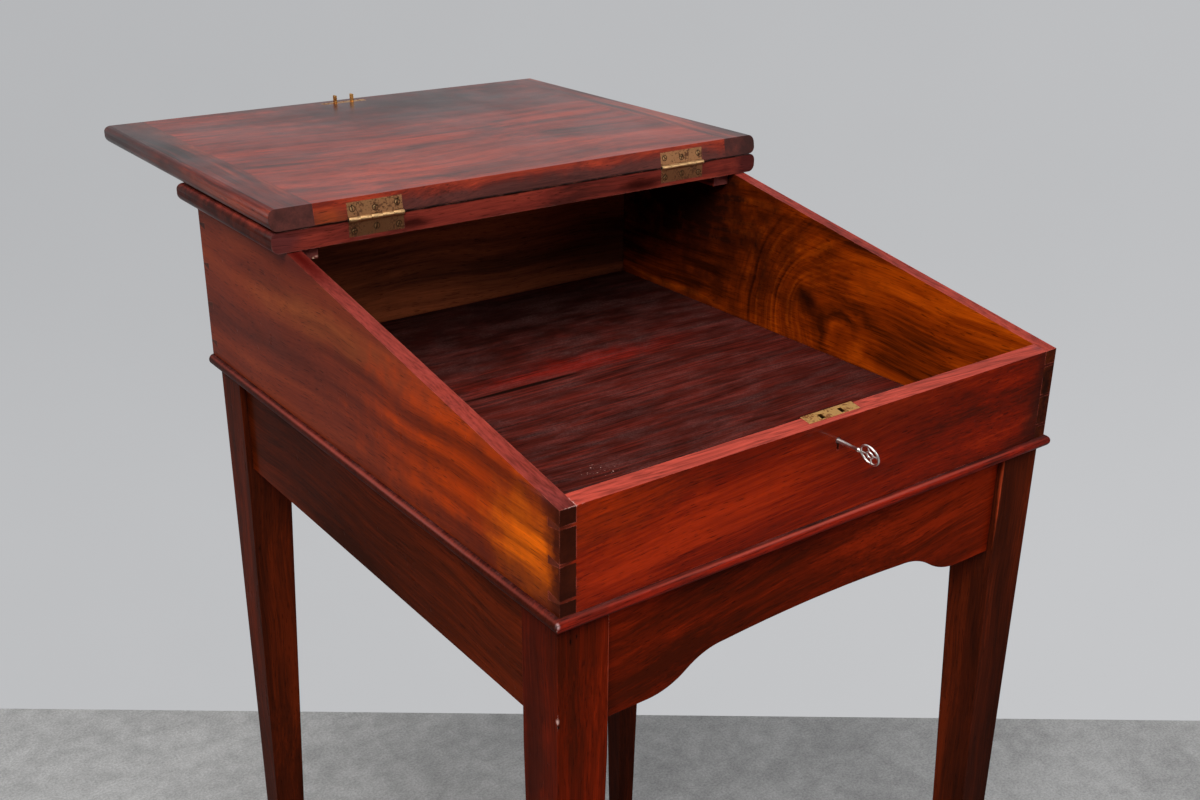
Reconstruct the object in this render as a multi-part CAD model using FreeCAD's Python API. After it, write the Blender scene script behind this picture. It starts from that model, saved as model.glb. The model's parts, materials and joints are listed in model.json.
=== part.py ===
"""Clerk's standing desk in mahogany, all sizes in millimetres.

A sloping box with a hinged lid stands on a frame of four tapered legs.  X runs along the front
from left to right, Y from the front to the back, Z up from the floor.  While the pieces are made,
x = 0 is the middle of the desk and y = 0 is the outer face of the front board.  The last step
moves everything along Y, so that the origin lies on the floor under the middle of the whole desk
with its lid folded back.

The lid is drawn as it lies when it is open, folded right back on the fixed board.  Pieces of the
lid that have to meet the lock are laid out on the closed lid first and then turned over.
"""
import FreeCAD
import Part
import math
import os

# ---------------------------------------------------------------- driving dimensions

# box
BOX_WIDTH = 610.0           # outside of the left side to outside of the right side
BOX_DEPTH = 714.0           # outside of the front board to outside of the back board
BACK_HEIGHT = 182.0         # sides and back board, above the bottom board
SLOPE_DEG = 10.2            # slope of the box's top edges and of the closed lid
WALL = 16.0                 # thickness of the sides, the front board and the back board
BOTTOM_THICK = 13.0         # bottom board, whose rounded edge shows as a bead
BEAD_SIDE = 6.0             # how far that bead stands out from the sides
BEAD_FRONT = 5.0            # and from the front board

# dovetails
PIN_NARROW = 2.6            # height of a pin where it is narrowest
PIN_SLOPE = 1.0 / 6.0       # how much each side of a pin spreads per millimetre of wall
FRONT_PIN_FIRST = 14.0      # lowest pin's middle above the bottom board
FRONT_PIN_PITCH = 33.0
BACK_PIN_FIRST = 17.0
BACK_PIN_PITCH = 47.0
PIN_HEADROOM = 9.0          # least height above the highest pin's middle

# fixed top board and lid
BOARD_FRONT = 475.0         # front edge of the fixed board
BOARD_THICK = 22.0
BOARD_BACK_OVERHANG = 18.0
BOARD_END_OVERHANG = 15.5   # both boards, past the sides
EDGE_ROUND = 8.5            # rounding of the free edges
LID_LENGTH = 500.0          # from the hinge's axis to the free edge
LID_THICK = 22.0
CLAMP_WIDTH = 48.0          # cross pieces at the lid's two ends
TONGUE_THICK = 7.0
TONGUE_LENGTH = 10.0
TONGUE_INSET = 14.0         # the tongue stops this far from the lid's edges

# hinges
HINGE_INSET = 101.0         # middle of a hinge from the side of the box
HINGE_LENGTH = 63.5
LEAF_WIDTH = 18.0           # from the pin's axis to the leaf's edge
LEAF_THICK = 2.0
KNUCKLE_RADIUS = 3.0
KNUCKLE_COUNT = 5
KNUCKLE_GAP = 0.3
PIN_RADIUS = 1.5
AXIS_OUT = 0.4              # pin's axis in front of the boards' edges
LEAF_SCREW_END = 6.0        # outer screws from the leaf's ends
LEAF_SCREW_OUT = 12.0       # outer screws from the axis
LEAF_SCREW_MID = 10.0       # middle screw from the axis

# lock and key
LOCK_X = -3.0               # middle of the lock from the middle of the desk
SELVEDGE_LENGTH = 63.5      # brass plate in the front board's sloping edge
SELVEDGE_WIDTH = 12.0
SELVEDGE_THICK = 2.0
BACK_PLATE_THICK = 2.0
BACK_PLATE_DROP = 17.0      # back plate's lower edge below the key's axis
CASE_WIDTH = 52.0
CASE_DEPTH = 9.6            # let into the front board from its inner face
CASE_WALL = 1.2
CASE_DROP = 12.0            # case's floor below the key's axis
SLOT_SPACING = 24.7         # between the two slots in the selvedge
SLOT_WIDTH = 4.8
SLOT_DEPTH = 7.2
SLOT_BACK = 4.8             # slots' middle from the front board's inner face
KEY_DROP = 22.8             # key's axis below the sloping edge, measured at the slots
LINK_THICK = 3.0
LINK_WIDTH = 5.8
LINK_LENGTH = 10.0
LINK_EYE_DEPTH = 6.1        # middle of a link's eye below the lid
LINK_EYE_HEIGHT = 4.0
LINK_EYE_WIDTH = 3.8
LINK_PLATE_LENGTH = 63.5
LINK_PLATE_WIDTH = 11.0
LINK_PLATE_THICK = 1.8
LINK_SCREW_END = 8.5        # outer screws from the link plate's ends
BOLT_THICK = 2.4
BOLT_TRAVEL = 6.0
BOLT_LOW = 4.5              # bolt's lower edge above the key's axis
BOLT_HIGH = 12.0
BOLT_TAIL = 2.3             # bolt's left end past its left prong's tip
PRONG_HEIGHT = 2.6          # prongs that pass through the links' eyes
PRONG_POST = 3.0
PRONG_START = 0.8           # prong's tip from the link while the lock is open
GUIDE_RADIUS = 1.4
DRILL_PIN_RADIUS = 1.3
KEYHOLE_RADIUS = 3.3
KEYHOLE_SLOT = 3.0
KEY_SHANK_RADIUS = 2.75
KEY_BIT_RADIUS = 8.5
KEY_BIT_THICK = 2.2
KEY_BIT_WIDTH = 4.4
KEY_TIP_GAP = 1.0           # key's tip from the back plate
KEY_BOW_CENTRE = 37.6       # middle of the bow in front of the front board
KEY_BOW_RADIUS = 11.2
KEY_BOW_THICK = 2.8
KEY_BOW_RIM = 2.2
KEY_BOW_BAR = 2.0
KEY_COLLAR_RADIUS = 3.9
KEY_COLLAR_LENGTH = 2.4
KEY_REST_DEG = 20.0         # how far the key is turned from upright

# stand
LEG_HEIGHT = 1000.0
LEG_TOP = 52.0              # square section of a leg above its taper
LEG_FOOT = 25.0             # square section at the floor
TAPER_START = 30.0          # below the aprons
STAND_INSET_SIDE = 1.0      # legs' outer faces in from the box's sides
STAND_INSET_FRONT = 5.0
STAND_INSET_BACK = 18.0
APRON_THICK = 20.0
APRON_DEPTH = 112.0
APRON_SETBACK = 7.0         # aprons behind the legs' outer faces
TENON_THICK = 8.0
TENON_LENGTH = 28.0
TENON_HAUNCH = 12.0         # tenon's edges in from the apron's edges
MORTISE_SPARE = 1.0         # free depth behind a tenon's end
DROP_FLAT = 48.0            # straight end of the front apron's lower edge
OGEE_RUN = 88.0
OGEE_RISE = 28.0
ARCH_RISE = 4.0

# blocks and screws
BOTTOM_SCREW_HEAD = 3.6
STAND_BLOCK = 18.0
STAND_BLOCK_LENGTH = 60.0
BOARD_BLOCK = 15.0          # height
BOARD_BLOCK_WIDTH = 23.0
BOARD_BLOCK_LENGTH = 48.0
BOARD_BLOCK_START = 12.0    # first block behind the fixed board's front edge
BOARD_BLOCK_PITCH = 140.0

# clearances
LID_GAP = 0.8               # between the open lid and the fixed board
REST_GAP = 0.4              # between the closed lid and the box's edges
FIT = 0.3                   # between pieces that move past each other
PIN_FIT = 0.05              # radial, where a piece turns on a pin
SCREW_FIT = 0.02            # radial, between a screw and its wood

# ---------------------------------------------------------------- derived places

HALF_WIDTH = BOX_WIDTH / 2.0
INNER_HALF = HALF_WIDTH - WALL
BOARD_HALF = HALF_WIDTH + BOARD_END_OVERHANG
Z_BOX = LEG_HEIGHT + BOTTOM_THICK
Z_BOARD = Z_BOX + BACK_HEIGHT
Z_BOARD_TOP = Z_BOARD + BOARD_THICK
SLOPE = math.radians(SLOPE_DEG)
AXIS_Y = BOARD_FRONT - AXIS_OUT
AXIS_Z = Z_BOARD_TOP + LID_GAP / 2.0
LID_FACE = LID_GAP / 2.0 + LID_THICK        # axis to the lid's writing-box side
SLOPE_DROP = LID_FACE + REST_GAP            # axis to the plane of the box's sloping edges
CLOSING_DEG = 180.0 + SLOPE_DEG
LEG_HALF = HALF_WIDTH - STAND_INSET_SIDE
LEG_BACK = BOX_DEPTH - STAND_INSET_BACK
APRON_LOW = LEG_HEIGHT - APRON_DEPTH
SELVEDGE_FRONT = WALL + BACK_PLATE_THICK - SELVEDGE_WIDTH
CASE_FRONT = WALL - CASE_DEPTH
SLOT_Y = WALL - SLOT_BACK
KEY_TIP = WALL - KEY_TIP_GAP
HINGE_XS = (-(HALF_WIDTH - HINGE_INSET), HALF_WIDTH - HINGE_INSET)
LINK_XS = (LOCK_X - SLOT_SPACING / 2.0, LOCK_X + SLOT_SPACING / 2.0)

V = FreeCAD.Vector
X_AXIS = V(1, 0, 0)
Y_AXIS = V(0, 1, 0)
Z_AXIS = V(0, 0, 1)


def slope_z(y):
    """Height of the plane of the box's sloping edges at a place along Y."""
    return AXIS_Z + (y - AXIS_Y) * math.tan(SLOPE) - SLOPE_DROP / math.cos(SLOPE)


def flat_y(y):
    """Where a point of the sloping plane lies once the slope is turned level about the axis."""
    return AXIS_Y - (AXIS_Y - y + SLOPE_DROP * math.sin(SLOPE)) / math.cos(SLOPE)


LOCK_Z = slope_z(SLOT_Y) - KEY_DROP
EYE_REACH = LINK_EYE_DEPTH - REST_GAP       # eyes' middles square below the sloping plane
EYE_Y = SLOT_Y + EYE_REACH * math.sin(SLOPE)
EYE_Z = slope_z(SLOT_Y) - EYE_REACH * math.cos(SLOPE)


# ---------------------------------------------------------------- solid helpers

def block(x0, x1, y0, y1, z0, z1):
    """Box between two corners."""
    return Part.makeBox(x1 - x0, y1 - y0, z1 - z0, V(x0, y0, z0))


def extrude(points, direction):
    """Straight-sided solid on a closed polygon."""
    face = Part.Face(Part.makePolygon(points + [points[0]]))
    return face.extrude(direction)


def prism_x(yz, x0, x1):
    """Solid with a polygon of (y, z) points as its section, from x0 to x1."""
    return extrude([V(x0, y, z) for y, z in yz], V(x1 - x0, 0, 0))


def rod(radius, start, direction, length):
    """Cylinder from a point along a direction."""
    return Part.makeCylinder(radius, length, start, direction)


def rounded(solid, radius, wanted):
    """Rounds the edges whose middle passes the test."""
    edges = [edge for edge in solid.Edges if wanted(edge.BoundBox)]
    return solid.makeFillet(radius, edges)


def level_to_slope(solid):
    """Turns a piece that was laid out level on to the box's slope."""
    solid.rotate(V(0, AXIS_Y, AXIS_Z), X_AXIS, SLOPE_DEG)
    return solid


def level_to_open(solid):
    """Turns a piece of the lid that was laid out level and closed to the open lid."""
    solid.rotate(V(0, AXIS_Y, AXIS_Z), X_AXIS, -180.0)
    return solid


def closed_to_open(solid):
    """Turns a piece of the closed lid to the open lid."""
    solid.rotate(V(0, AXIS_Y, AXIS_Z), X_AXIS, -CLOSING_DEG)
    return solid


# ---------------------------------------------------------------- screws

class Screw:
    """Countersunk wood screw: its sizes, its head's middle, its direction and its slot's turn."""

    def __init__(self, head, shank, length, point, direction, turn_deg=0.0):
        self.head = head
        self.shank = shank
        self.length = length
        self.point = point
        self.direction = direction
        self.turn_deg = turn_deg

    def place(self, solid):
        """Moves a solid drawn downwards from the origin to the screw's place."""
        solid.rotate(V(0, 0, 0), Z_AXIS, self.turn_deg)
        solid.Placement = FreeCAD.Placement(
            self.point, FreeCAD.Rotation(-Z_AXIS, self.direction)).multiply(solid.Placement)
        return solid

    def body(self, spare):
        """Head cone and shank, larger all round by spare."""
        depth = self.head - self.shank
        cone = Part.makeCone(self.shank + spare, self.head + spare, depth, V(0, 0, -depth))
        shank = rod(self.shank + spare, V(0, 0, -self.length - spare), Z_AXIS,
                    self.length + spare - depth + 0.01)
        return cone.fuse(shank)

    def solid(self):
        """The screw with its slot."""
        slot = block(-self.head, self.head, -0.45, 0.45, -0.9, 1.0)
        return self.place(self.body(0.0).cut(slot).removeSplitter())

    def hole(self):
        """What a piece loses where the screw passes."""
        collar = rod(self.head + SCREW_FIT, V(0, 0, 0), Z_AXIS, 1.0)
        return self.place(self.body(SCREW_FIT).fuse(collar))


def drilled(solid, screws):
    """Cuts the screws' holes out of a piece."""
    for screw in screws:
        solid = solid.cut(screw.hole())
    return solid


# ---------------------------------------------------------------- stand

def leg(side, back):
    """One leg: square at the top, tapered on its two inner faces, with two mortises."""
    outer_x = side * LEG_HALF
    outer_y = LEG_BACK if back else STAND_INSET_FRONT
    in_x = -side
    in_y = -1.0 if back else 1.0

    def square(size, z):
        far_x = outer_x + in_x * size
        far_y = outer_y + in_y * size
        corners = [V(outer_x, outer_y, z), V(far_x, outer_y, z), V(far_x, far_y, z),
                   V(outer_x, far_y, z)]
        return Part.makePolygon(corners + [corners[0]])

    shoulder = APRON_LOW - TAPER_START
    straight = Part.Face(square(LEG_TOP, shoulder)).extrude(V(0, 0, LEG_HEIGHT - shoulder))
    tapered = Part.makeLoft([square(LEG_FOOT, 0.0), square(LEG_TOP, shoulder)], True, True)
    whole = straight.fuse(tapered).removeSplitter()

    low = APRON_LOW + TENON_HAUNCH
    high = LEG_HEIGHT - TENON_HAUNCH
    deep = TENON_LENGTH + MORTISE_SPARE
    middle = APRON_SETBACK + APRON_THICK / 2.0
    near = middle - TENON_THICK / 2.0
    far = middle + TENON_THICK / 2.0
    along_x = sorted((outer_x + in_x * (LEG_TOP - deep), outer_x + in_x * (LEG_TOP + 1.0)))
    along_y = sorted((outer_y + in_y * (LEG_TOP - deep), outer_y + in_y * (LEG_TOP + 1.0)))
    across_x = sorted((outer_x + in_x * near, outer_x + in_x * far))
    across_y = sorted((outer_y + in_y * near, outer_y + in_y * far))
    whole = whole.cut(block(along_x[0], along_x[1], across_y[0], across_y[1], low, high))
    return whole.cut(block(across_x[0], across_x[1], along_y[0], along_y[1], low, high))


def apron_face_y(back):
    """Nearest and farthest Y of the front or back apron."""
    if back:
        return LEG_BACK - APRON_SETBACK - APRON_THICK, LEG_BACK - APRON_SETBACK
    return STAND_INSET_FRONT + APRON_SETBACK, STAND_INSET_FRONT + APRON_SETBACK + APRON_THICK


def cross_tenons(y0, y1):
    """Tenons at the two ends of an apron that runs along X."""
    inner = LEG_HALF - LEG_TOP
    middle = (y0 + y1) / 2.0
    tenons = []
    for side in (-1.0, 1.0):
        xs = sorted((side * inner, side * (inner + TENON_LENGTH)))
        tenons.append(block(xs[0], xs[1], middle - TENON_THICK / 2.0, middle + TENON_THICK / 2.0,
                            APRON_LOW + TENON_HAUNCH, LEG_HEIGHT - TENON_HAUNCH))
    return tenons


def front_apron():
    """Front apron: straight drops at the legs, an ogee, and a shallow arch between them."""
    inner = LEG_HALF - LEG_TOP
    start = inner - DROP_FLAT
    crest = start - OGEE_RUN
    low = APRON_LOW
    high = low + OGEE_RISE
    half_run = OGEE_RUN / 2.0
    radius = (half_run ** 2 + (OGEE_RISE / 2.0) ** 2) / OGEE_RISE
    half_angle = math.asin(half_run / radius) / 2.0
    reach = radius * math.sin(half_angle)
    lift = radius * (1.0 - math.cos(half_angle))
    middle_z = (low + high) / 2.0

    def arc(a, b, c):
        return Part.Arc(V(a[0], 0, a[1]), V(b[0], 0, b[1]), V(c[0], 0, c[1])).toShape()

    def line(a, b):
        return Part.makeLine(V(a[0], 0, a[1]), V(b[0], 0, b[1]))

    bend = start - half_run
    edges = [
        line((-inner, LEG_HEIGHT), (-inner, low)),
        line((-inner, low), (-start, low)),
        arc((-start, low), (-start + reach, low + lift), (-bend, middle_z)),
        arc((-bend, middle_z), (-crest - reach, high - lift), (-crest, high)),
        arc((-crest, high), (0.0, high + ARCH_RISE), (crest, high)),
        arc((crest, high), (crest + reach, high - lift), (bend, middle_z)),
        arc((bend, middle_z), (start - reach, low + lift), (start, low)),
        line((start, low), (inner, low)),
        line((inner, low), (inner, LEG_HEIGHT)),
        line((inner, LEG_HEIGHT), (-inner, LEG_HEIGHT)),
    ]
    y0, y1 = apron_face_y(False)
    board = Part.Face(Part.Wire(edges)).extrude(V(0, APRON_THICK, 0))
    board.translate(V(0, y0, 0))
    for tenon in cross_tenons(y0, y1):
        board = board.fuse(tenon)
    return board.removeSplitter()


def back_apron():
    """Back apron: a plain board with two tenons."""
    inner = LEG_HALF - LEG_TOP
    y0, y1 = apron_face_y(True)
    board = block(-inner, inner, y0, y1, APRON_LOW, LEG_HEIGHT)
    for tenon in cross_tenons(y0, y1):
        board = board.fuse(tenon)
    return board.removeSplitter()


def side_apron(side):
    """Side apron: a plain board with two tenons."""
    outer = side * (LEG_HALF - APRON_SETBACK)
    inner = side * (LEG_HALF - APRON_SETBACK - APRON_THICK)
    middle = (outer + inner) / 2.0
    xs = sorted((outer, inner))
    y0 = STAND_INSET_FRONT + LEG_TOP
    y1 = LEG_BACK - LEG_TOP
    board = block(xs[0], xs[1], y0, y1, APRON_LOW, LEG_HEIGHT)
    tenon = block(middle - TENON_THICK / 2.0, middle + TENON_THICK / 2.0, y0 - TENON_LENGTH,
                  y1 + TENON_LENGTH, APRON_LOW + TENON_HAUNCH, LEG_HEIGHT - TENON_HAUNCH)
    return board.fuse(tenon).removeSplitter()


def stand_block_places():
    """Middle, lengthwise axis and inward direction of each block under the bottom board."""
    front_y = apron_face_y(False)[1]
    back_y = apron_face_y(True)[0]
    side_x = LEG_HALF - APRON_SETBACK - APRON_THICK
    long_x = (LEG_HALF - LEG_TOP) / 2.0
    depth = LEG_BACK - STAND_INSET_FRONT
    half = STAND_BLOCK / 2.0
    places = []
    for x in (-long_x, long_x):
        places.append((x, front_y + half, True))
        places.append((x, back_y - half, True))
    for share in (0.25, 0.5, 0.75):
        for side in (-1.0, 1.0):
            places.append((side * (side_x - half), STAND_INSET_FRONT + share * depth, False))
    return places


def stand_block_screws():
    """One screw up through each block into the bottom board."""
    return [Screw(3.4, 1.7, 27.0, V(x, y, LEG_HEIGHT - STAND_BLOCK), Z_AXIS, 25.0 * index)
            for index, (x, y, _) in enumerate(stand_block_places())]


def stand_blocks():
    """Square blocks glued in the corners between the aprons and the bottom board."""
    solids = []
    for x, y, along_x in stand_block_places():
        half_x = STAND_BLOCK_LENGTH / 2.0 if along_x else STAND_BLOCK / 2.0
        half_y = STAND_BLOCK / 2.0 if along_x else STAND_BLOCK_LENGTH / 2.0
        solid = block(x - half_x, x + half_x, y - half_y, y + half_y,
                      LEG_HEIGHT - STAND_BLOCK, LEG_HEIGHT)
        solids.append(solid)
    return [drilled(solid, [screw]) for solid, screw in zip(solids, stand_block_screws())]


# ---------------------------------------------------------------- box

def pin_section(middle_z, back):
    """Section of one dovetail pin in Y and Z: narrow at the box's outer face."""
    narrow = PIN_NARROW / 2.0
    wide = narrow + WALL * PIN_SLOPE
    outer = BOX_DEPTH if back else 0.0
    inner = BOX_DEPTH - WALL if back else WALL
    return [(outer, middle_z - narrow), (outer, middle_z + narrow),
            (inner, middle_z + wide), (inner, middle_z - wide)]


def pin_sections(back):
    """Sections of all pins of the front or back board."""
    first = BACK_PIN_FIRST if back else FRONT_PIN_FIRST
    pitch = BACK_PIN_PITCH if back else FRONT_PIN_PITCH
    top = Z_BOARD if back else slope_z(0.0)
    count = 1 + int((top - PIN_HEADROOM - Z_BOX - first) / pitch)
    return [pin_section(Z_BOX + first + pitch * index, back) for index in range(count)]


def side_section():
    """Outline of a side in Y and Z: level under the fixed board, sloping in front of it."""
    knee = AXIS_Y + (Z_BOARD - slope_z(AXIS_Y)) / math.tan(SLOPE)
    return [(0.0, Z_BOX), (BOX_DEPTH, Z_BOX), (BOX_DEPTH, Z_BOARD), (knee, Z_BOARD),
            (0.0, slope_z(0.0))]


def box_side(side):
    """Left or right side with the sockets for both rows of pins."""
    xs = sorted((side * INNER_HALF, side * HALF_WIDTH))
    board = prism_x(side_section(), xs[0], xs[1])
    for section in pin_sections(False) + pin_sections(True):
        board = board.cut(prism_x(section, xs[0] - 1.0, xs[1] + 1.0))
    return drilled(board, bottom_screws())


def end_pins(board, back):
    """Adds the dovetail pins at both ends of the front or back board."""
    for section in pin_sections(back):
        for side in (-1.0, 1.0):
            xs = sorted((side * INNER_HALF, side * HALF_WIDTH))
            board = board.fuse(prism_x(section, xs[0], xs[1]))
    return board.removeSplitter()


def keyhole(y0, y1):
    """Round hole with a slot below it, from y0 to y1."""
    depth = KEY_BIT_RADIUS + 1.0
    hole = rod(KEYHOLE_RADIUS, V(LOCK_X, y0, LOCK_Z), Y_AXIS, y1 - y0)
    slot = block(LOCK_X - KEYHOLE_SLOT / 2.0, LOCK_X + KEYHOLE_SLOT / 2.0, y0, y1,
                 LOCK_Z - depth, LOCK_Z)
    return hole.fuse(slot)


def selvedge_blank(spare):
    """The lock's top plate, level, larger by spare at its ends and its front edge."""
    top = AXIS_Z - SLOPE_DROP
    half = SELVEDGE_LENGTH / 2.0 + spare
    return block(LOCK_X - half, LOCK_X + half, flat_y(SELVEDGE_FRONT) - spare,
                 flat_y(WALL + BACK_PLATE_THICK), top - SELVEDGE_THICK, top)


def front_board():
    """Front board with its bevelled top edge, its pins, the lock's mortise and the keyhole."""
    section = [(0.0, Z_BOX), (WALL, Z_BOX), (WALL, slope_z(WALL)), (0.0, slope_z(0.0))]
    board = end_pins(prism_x(section, -INNER_HALF, INNER_HALF), False)
    half = CASE_WIDTH / 2.0 + SCREW_FIT
    board = board.cut(block(LOCK_X - half, LOCK_X + half, CASE_FRONT - SCREW_FIT, WALL + 1.0,
                            LOCK_Z - CASE_DROP - SCREW_FIT, Z_BOARD))
    recess = selvedge_blank(SCREW_FIT)
    recess = recess.fuse(recess.translated(V(0, 0, SELVEDGE_THICK)))
    board = board.cut(level_to_slope(recess))
    board = board.cut(keyhole(-1.0, CASE_FRONT + 1.0))
    return drilled(board, lock_screws() + bottom_screws())


def back_board():
    """Back board with its pins."""
    board = block(-INNER_HALF, INNER_HALF, BOX_DEPTH - WALL, BOX_DEPTH, Z_BOX, Z_BOARD)
    return drilled(end_pins(board, True), bottom_screws())


def bottom_screws():
    """Screws up through the bottom board into the walls of the box."""
    middle = WALL / 2.0
    over_apron = LEG_HALF - APRON_SETBACK - BOTTOM_SCREW_HEAD - 0.2
    spots = []
    for share in (0.12, 0.37, 0.63, 0.88):
        for side in (-1.0, 1.0):
            spots.append((side * over_apron, share * BOX_DEPTH))
    for share in (-0.6, 0.0, 0.6):
        for y in (middle, BOX_DEPTH - middle):
            spots.append((share * HALF_WIDTH, y))
    return [Screw(BOTTOM_SCREW_HEAD, 1.8, 32.0, V(x, y, LEG_HEIGHT), Z_AXIS, 40.0 * index)
            for index, (x, y) in enumerate(spots)]


def bottom_board():
    """Bottom board, rounded to a bead along its front and its two ends."""
    half = HALF_WIDTH + BEAD_SIDE
    board = block(-half, half, -BEAD_FRONT, BOX_DEPTH, LEG_HEIGHT, Z_BOX)

    def shows(box):
        along_front = box.YMax < -BEAD_FRONT + 0.1 and box.XLength > 1.0
        along_end = min(abs(box.XMin + half), abs(box.XMax - half)) < 0.1 and box.XLength < 0.1
        return along_front or (along_end and box.YLength > 1.0)

    board = rounded(board, BOTTOM_THICK / 2.0 - 0.2, shows)
    return drilled(board, bottom_screws() + stand_block_screws())


def board_block_places():
    """Middles of the blocks glued under the fixed board, along both sides of the box."""
    x = INNER_HALF - BOARD_BLOCK_WIDTH / 2.0
    first = BOARD_FRONT + BOARD_BLOCK_START + BOARD_BLOCK_LENGTH / 2.0
    last = BOX_DEPTH - WALL - BOARD_BLOCK_LENGTH / 2.0
    rows = 1 + int((last - first) / BOARD_BLOCK_PITCH)
    return [(side * x, first + BOARD_BLOCK_PITCH * row) for row in range(rows)
            for side in (-1.0, 1.0)]


def board_block_screws():
    """One screw up through each of those blocks into the fixed board."""
    return [Screw(3.2, 1.6, BOARD_BLOCK + 14.0, V(x, y, Z_BOARD - BOARD_BLOCK), Z_AXIS, 33.0 * index)
            for index, (x, y) in enumerate(board_block_places())]


def board_blocks():
    """Blocks that hold the fixed board down on the sides."""
    half = BOARD_BLOCK_WIDTH / 2.0
    solids = [block(x - half, x + half, y - BOARD_BLOCK_LENGTH / 2.0, y + BOARD_BLOCK_LENGTH / 2.0,
                    Z_BOARD - BOARD_BLOCK, Z_BOARD) for x, y in board_block_places()]
    return [drilled(solid, [screw]) for solid, screw in zip(solids, board_block_screws())]


def fixed_board():
    """Fixed top board: square hinge edge in front, rounded ends and back."""
    back = BOX_DEPTH + BOARD_BACK_OVERHANG
    board = block(-BOARD_HALF, BOARD_HALF, BOARD_FRONT, back, Z_BOARD, Z_BOARD_TOP)

    def shows(box):
        along_back = box.YMin > back - 0.1 and box.XLength > 1.0
        along_end = box.YLength > 1.0 and box.XLength < 0.1
        return along_back or along_end

    board = rounded(board, EDGE_ROUND, shows)
    for x in HINGE_XS:
        board = board.cut(leaf_blank(x, SCREW_FIT))
        board = board.cut(knuckle_room(x))
    return drilled(board, leaf_screws() + board_block_screws())


# ---------------------------------------------------------------- hinges

def leaf_blank(x, spare):
    """Flat plate of the fixed leaf, let into the board's edge."""
    half = HINGE_LENGTH / 2.0 + spare
    return block(x - half, x + half, BOARD_FRONT, BOARD_FRONT + LEAF_THICK + spare,
                 AXIS_Z - LEAF_WIDTH - spare, AXIS_Z)


def mirror_to_lid(solid):
    """The same piece on the closed lid: mirrored in the upright plane through the axis."""
    return solid.mirror(V(0, AXIS_Y, AXIS_Z), Y_AXIS)


def knuckle_room(x):
    """Groove for the knuckles along a board's edge."""
    half = HINGE_LENGTH / 2.0 + FIT
    return rod(KNUCKLE_RADIUS + FIT, V(x - half, AXIS_Y, AXIS_Z), X_AXIS, 2.0 * half)


def knuckle_spans(x, first):
    """Start and end in X of every second knuckle, from the first or the second on."""
    step = HINGE_LENGTH / KNUCKLE_COUNT
    left = x - HINGE_LENGTH / 2.0
    spans = []
    for index in range(first, KNUCKLE_COUNT, 2):
        start = left + index * step + (KNUCKLE_GAP / 2.0 if index else 0.0)
        end = left + (index + 1) * step - (KNUCKLE_GAP / 2.0 if index < KNUCKLE_COUNT - 1 else 0.0)
        spans.append((start, end))
    return spans


def hinge_leaf(x, first, pin_spare):
    """Leaf as it sits on the fixed board, with every second knuckle, bored for the pin."""
    plate = leaf_blank(x, 0.0)
    for start, end in knuckle_spans(x, 1 - first):
        room = rod(KNUCKLE_RADIUS + FIT, V(start - KNUCKLE_GAP, AXIS_Y, AXIS_Z), X_AXIS,
                   end - start + 2.0 * KNUCKLE_GAP)
        plate = plate.cut(room)
    for start, end in knuckle_spans(x, first):
        plate = plate.fuse(rod(KNUCKLE_RADIUS, V(start, AXIS_Y, AXIS_Z), X_AXIS, end - start))
    bore = rod(PIN_RADIUS + pin_spare, V(x - HINGE_LENGTH, AXIS_Y, AXIS_Z), X_AXIS,
               2.0 * HINGE_LENGTH)
    return plate.cut(bore).removeSplitter()


def leaf_screw_spots(x):
    """X and distance from the axis of a leaf's three screws."""
    reach = HINGE_LENGTH / 2.0 - LEAF_SCREW_END
    return [(x - reach, LEAF_SCREW_OUT), (x, LEAF_SCREW_MID), (x + reach, LEAF_SCREW_OUT)]


def leaf_screws():
    """Screws of both fixed leaves."""
    turns = (12.0, 70.0, 150.0, 35.0, 110.0, 165.0)
    spots = [spot for x in HINGE_XS for spot in leaf_screw_spots(x)]
    return [Screw(3.9, 2.0, 19.0, V(sx, BOARD_FRONT, AXIS_Z - out), Y_AXIS, turn)
            for (sx, out), turn in zip(spots, turns)]


def lid_leaf_direction():
    """Direction into the lid's hinge edge while the lid is open."""
    return V(0, math.cos(SLOPE), -math.sin(SLOPE))


def lid_leaf_screws():
    """Screws of both lid leaves, on the open lid."""
    turns = (95.0, 20.0, 60.0, 140.0, 5.0, 80.0)
    spots = [spot for x in HINGE_XS for spot in leaf_screw_spots(x)]
    screws = []
    for (sx, out), turn in zip(spots, turns):
        y = AXIS_Y + AXIS_OUT * math.cos(SLOPE) + out * math.sin(SLOPE)
        z = AXIS_Z - AXIS_OUT * math.sin(SLOPE) + out * math.cos(SLOPE)
        screws.append(Screw(3.9, 2.0, 19.0, V(sx, y, z), lid_leaf_direction(), turn))
    return screws


def hinge_pin(x):
    """Pin through all knuckles of one hinge."""
    return rod(PIN_RADIUS, V(x - HINGE_LENGTH / 2.0, AXIS_Y, AXIS_Z), X_AXIS, HINGE_LENGTH)


# ---------------------------------------------------------------- lid

def lid_blank():
    """The whole lid as one board, open, with its bevelled hinge edge and rounded free edges."""
    low = AXIS_Z + LID_GAP / 2.0
    high = low + LID_THICK
    near = AXIS_Y + AXIS_OUT / math.cos(SLOPE)
    far = AXIS_Y + LID_LENGTH

    def edge_y(z):
        return near + (z - AXIS_Z) * math.tan(SLOPE)

    board = prism_x([(edge_y(low), low), (far, low), (far, high), (edge_y(high), high)],
                    -BOARD_HALF, BOARD_HALF)

    def shows(box):
        along_free = box.YMin > far - 0.1 and box.XLength > 1.0
        along_end = box.YLength > LID_THICK and box.XLength < 0.1
        return along_free or along_end

    return rounded(board, EDGE_ROUND, shows)


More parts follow.
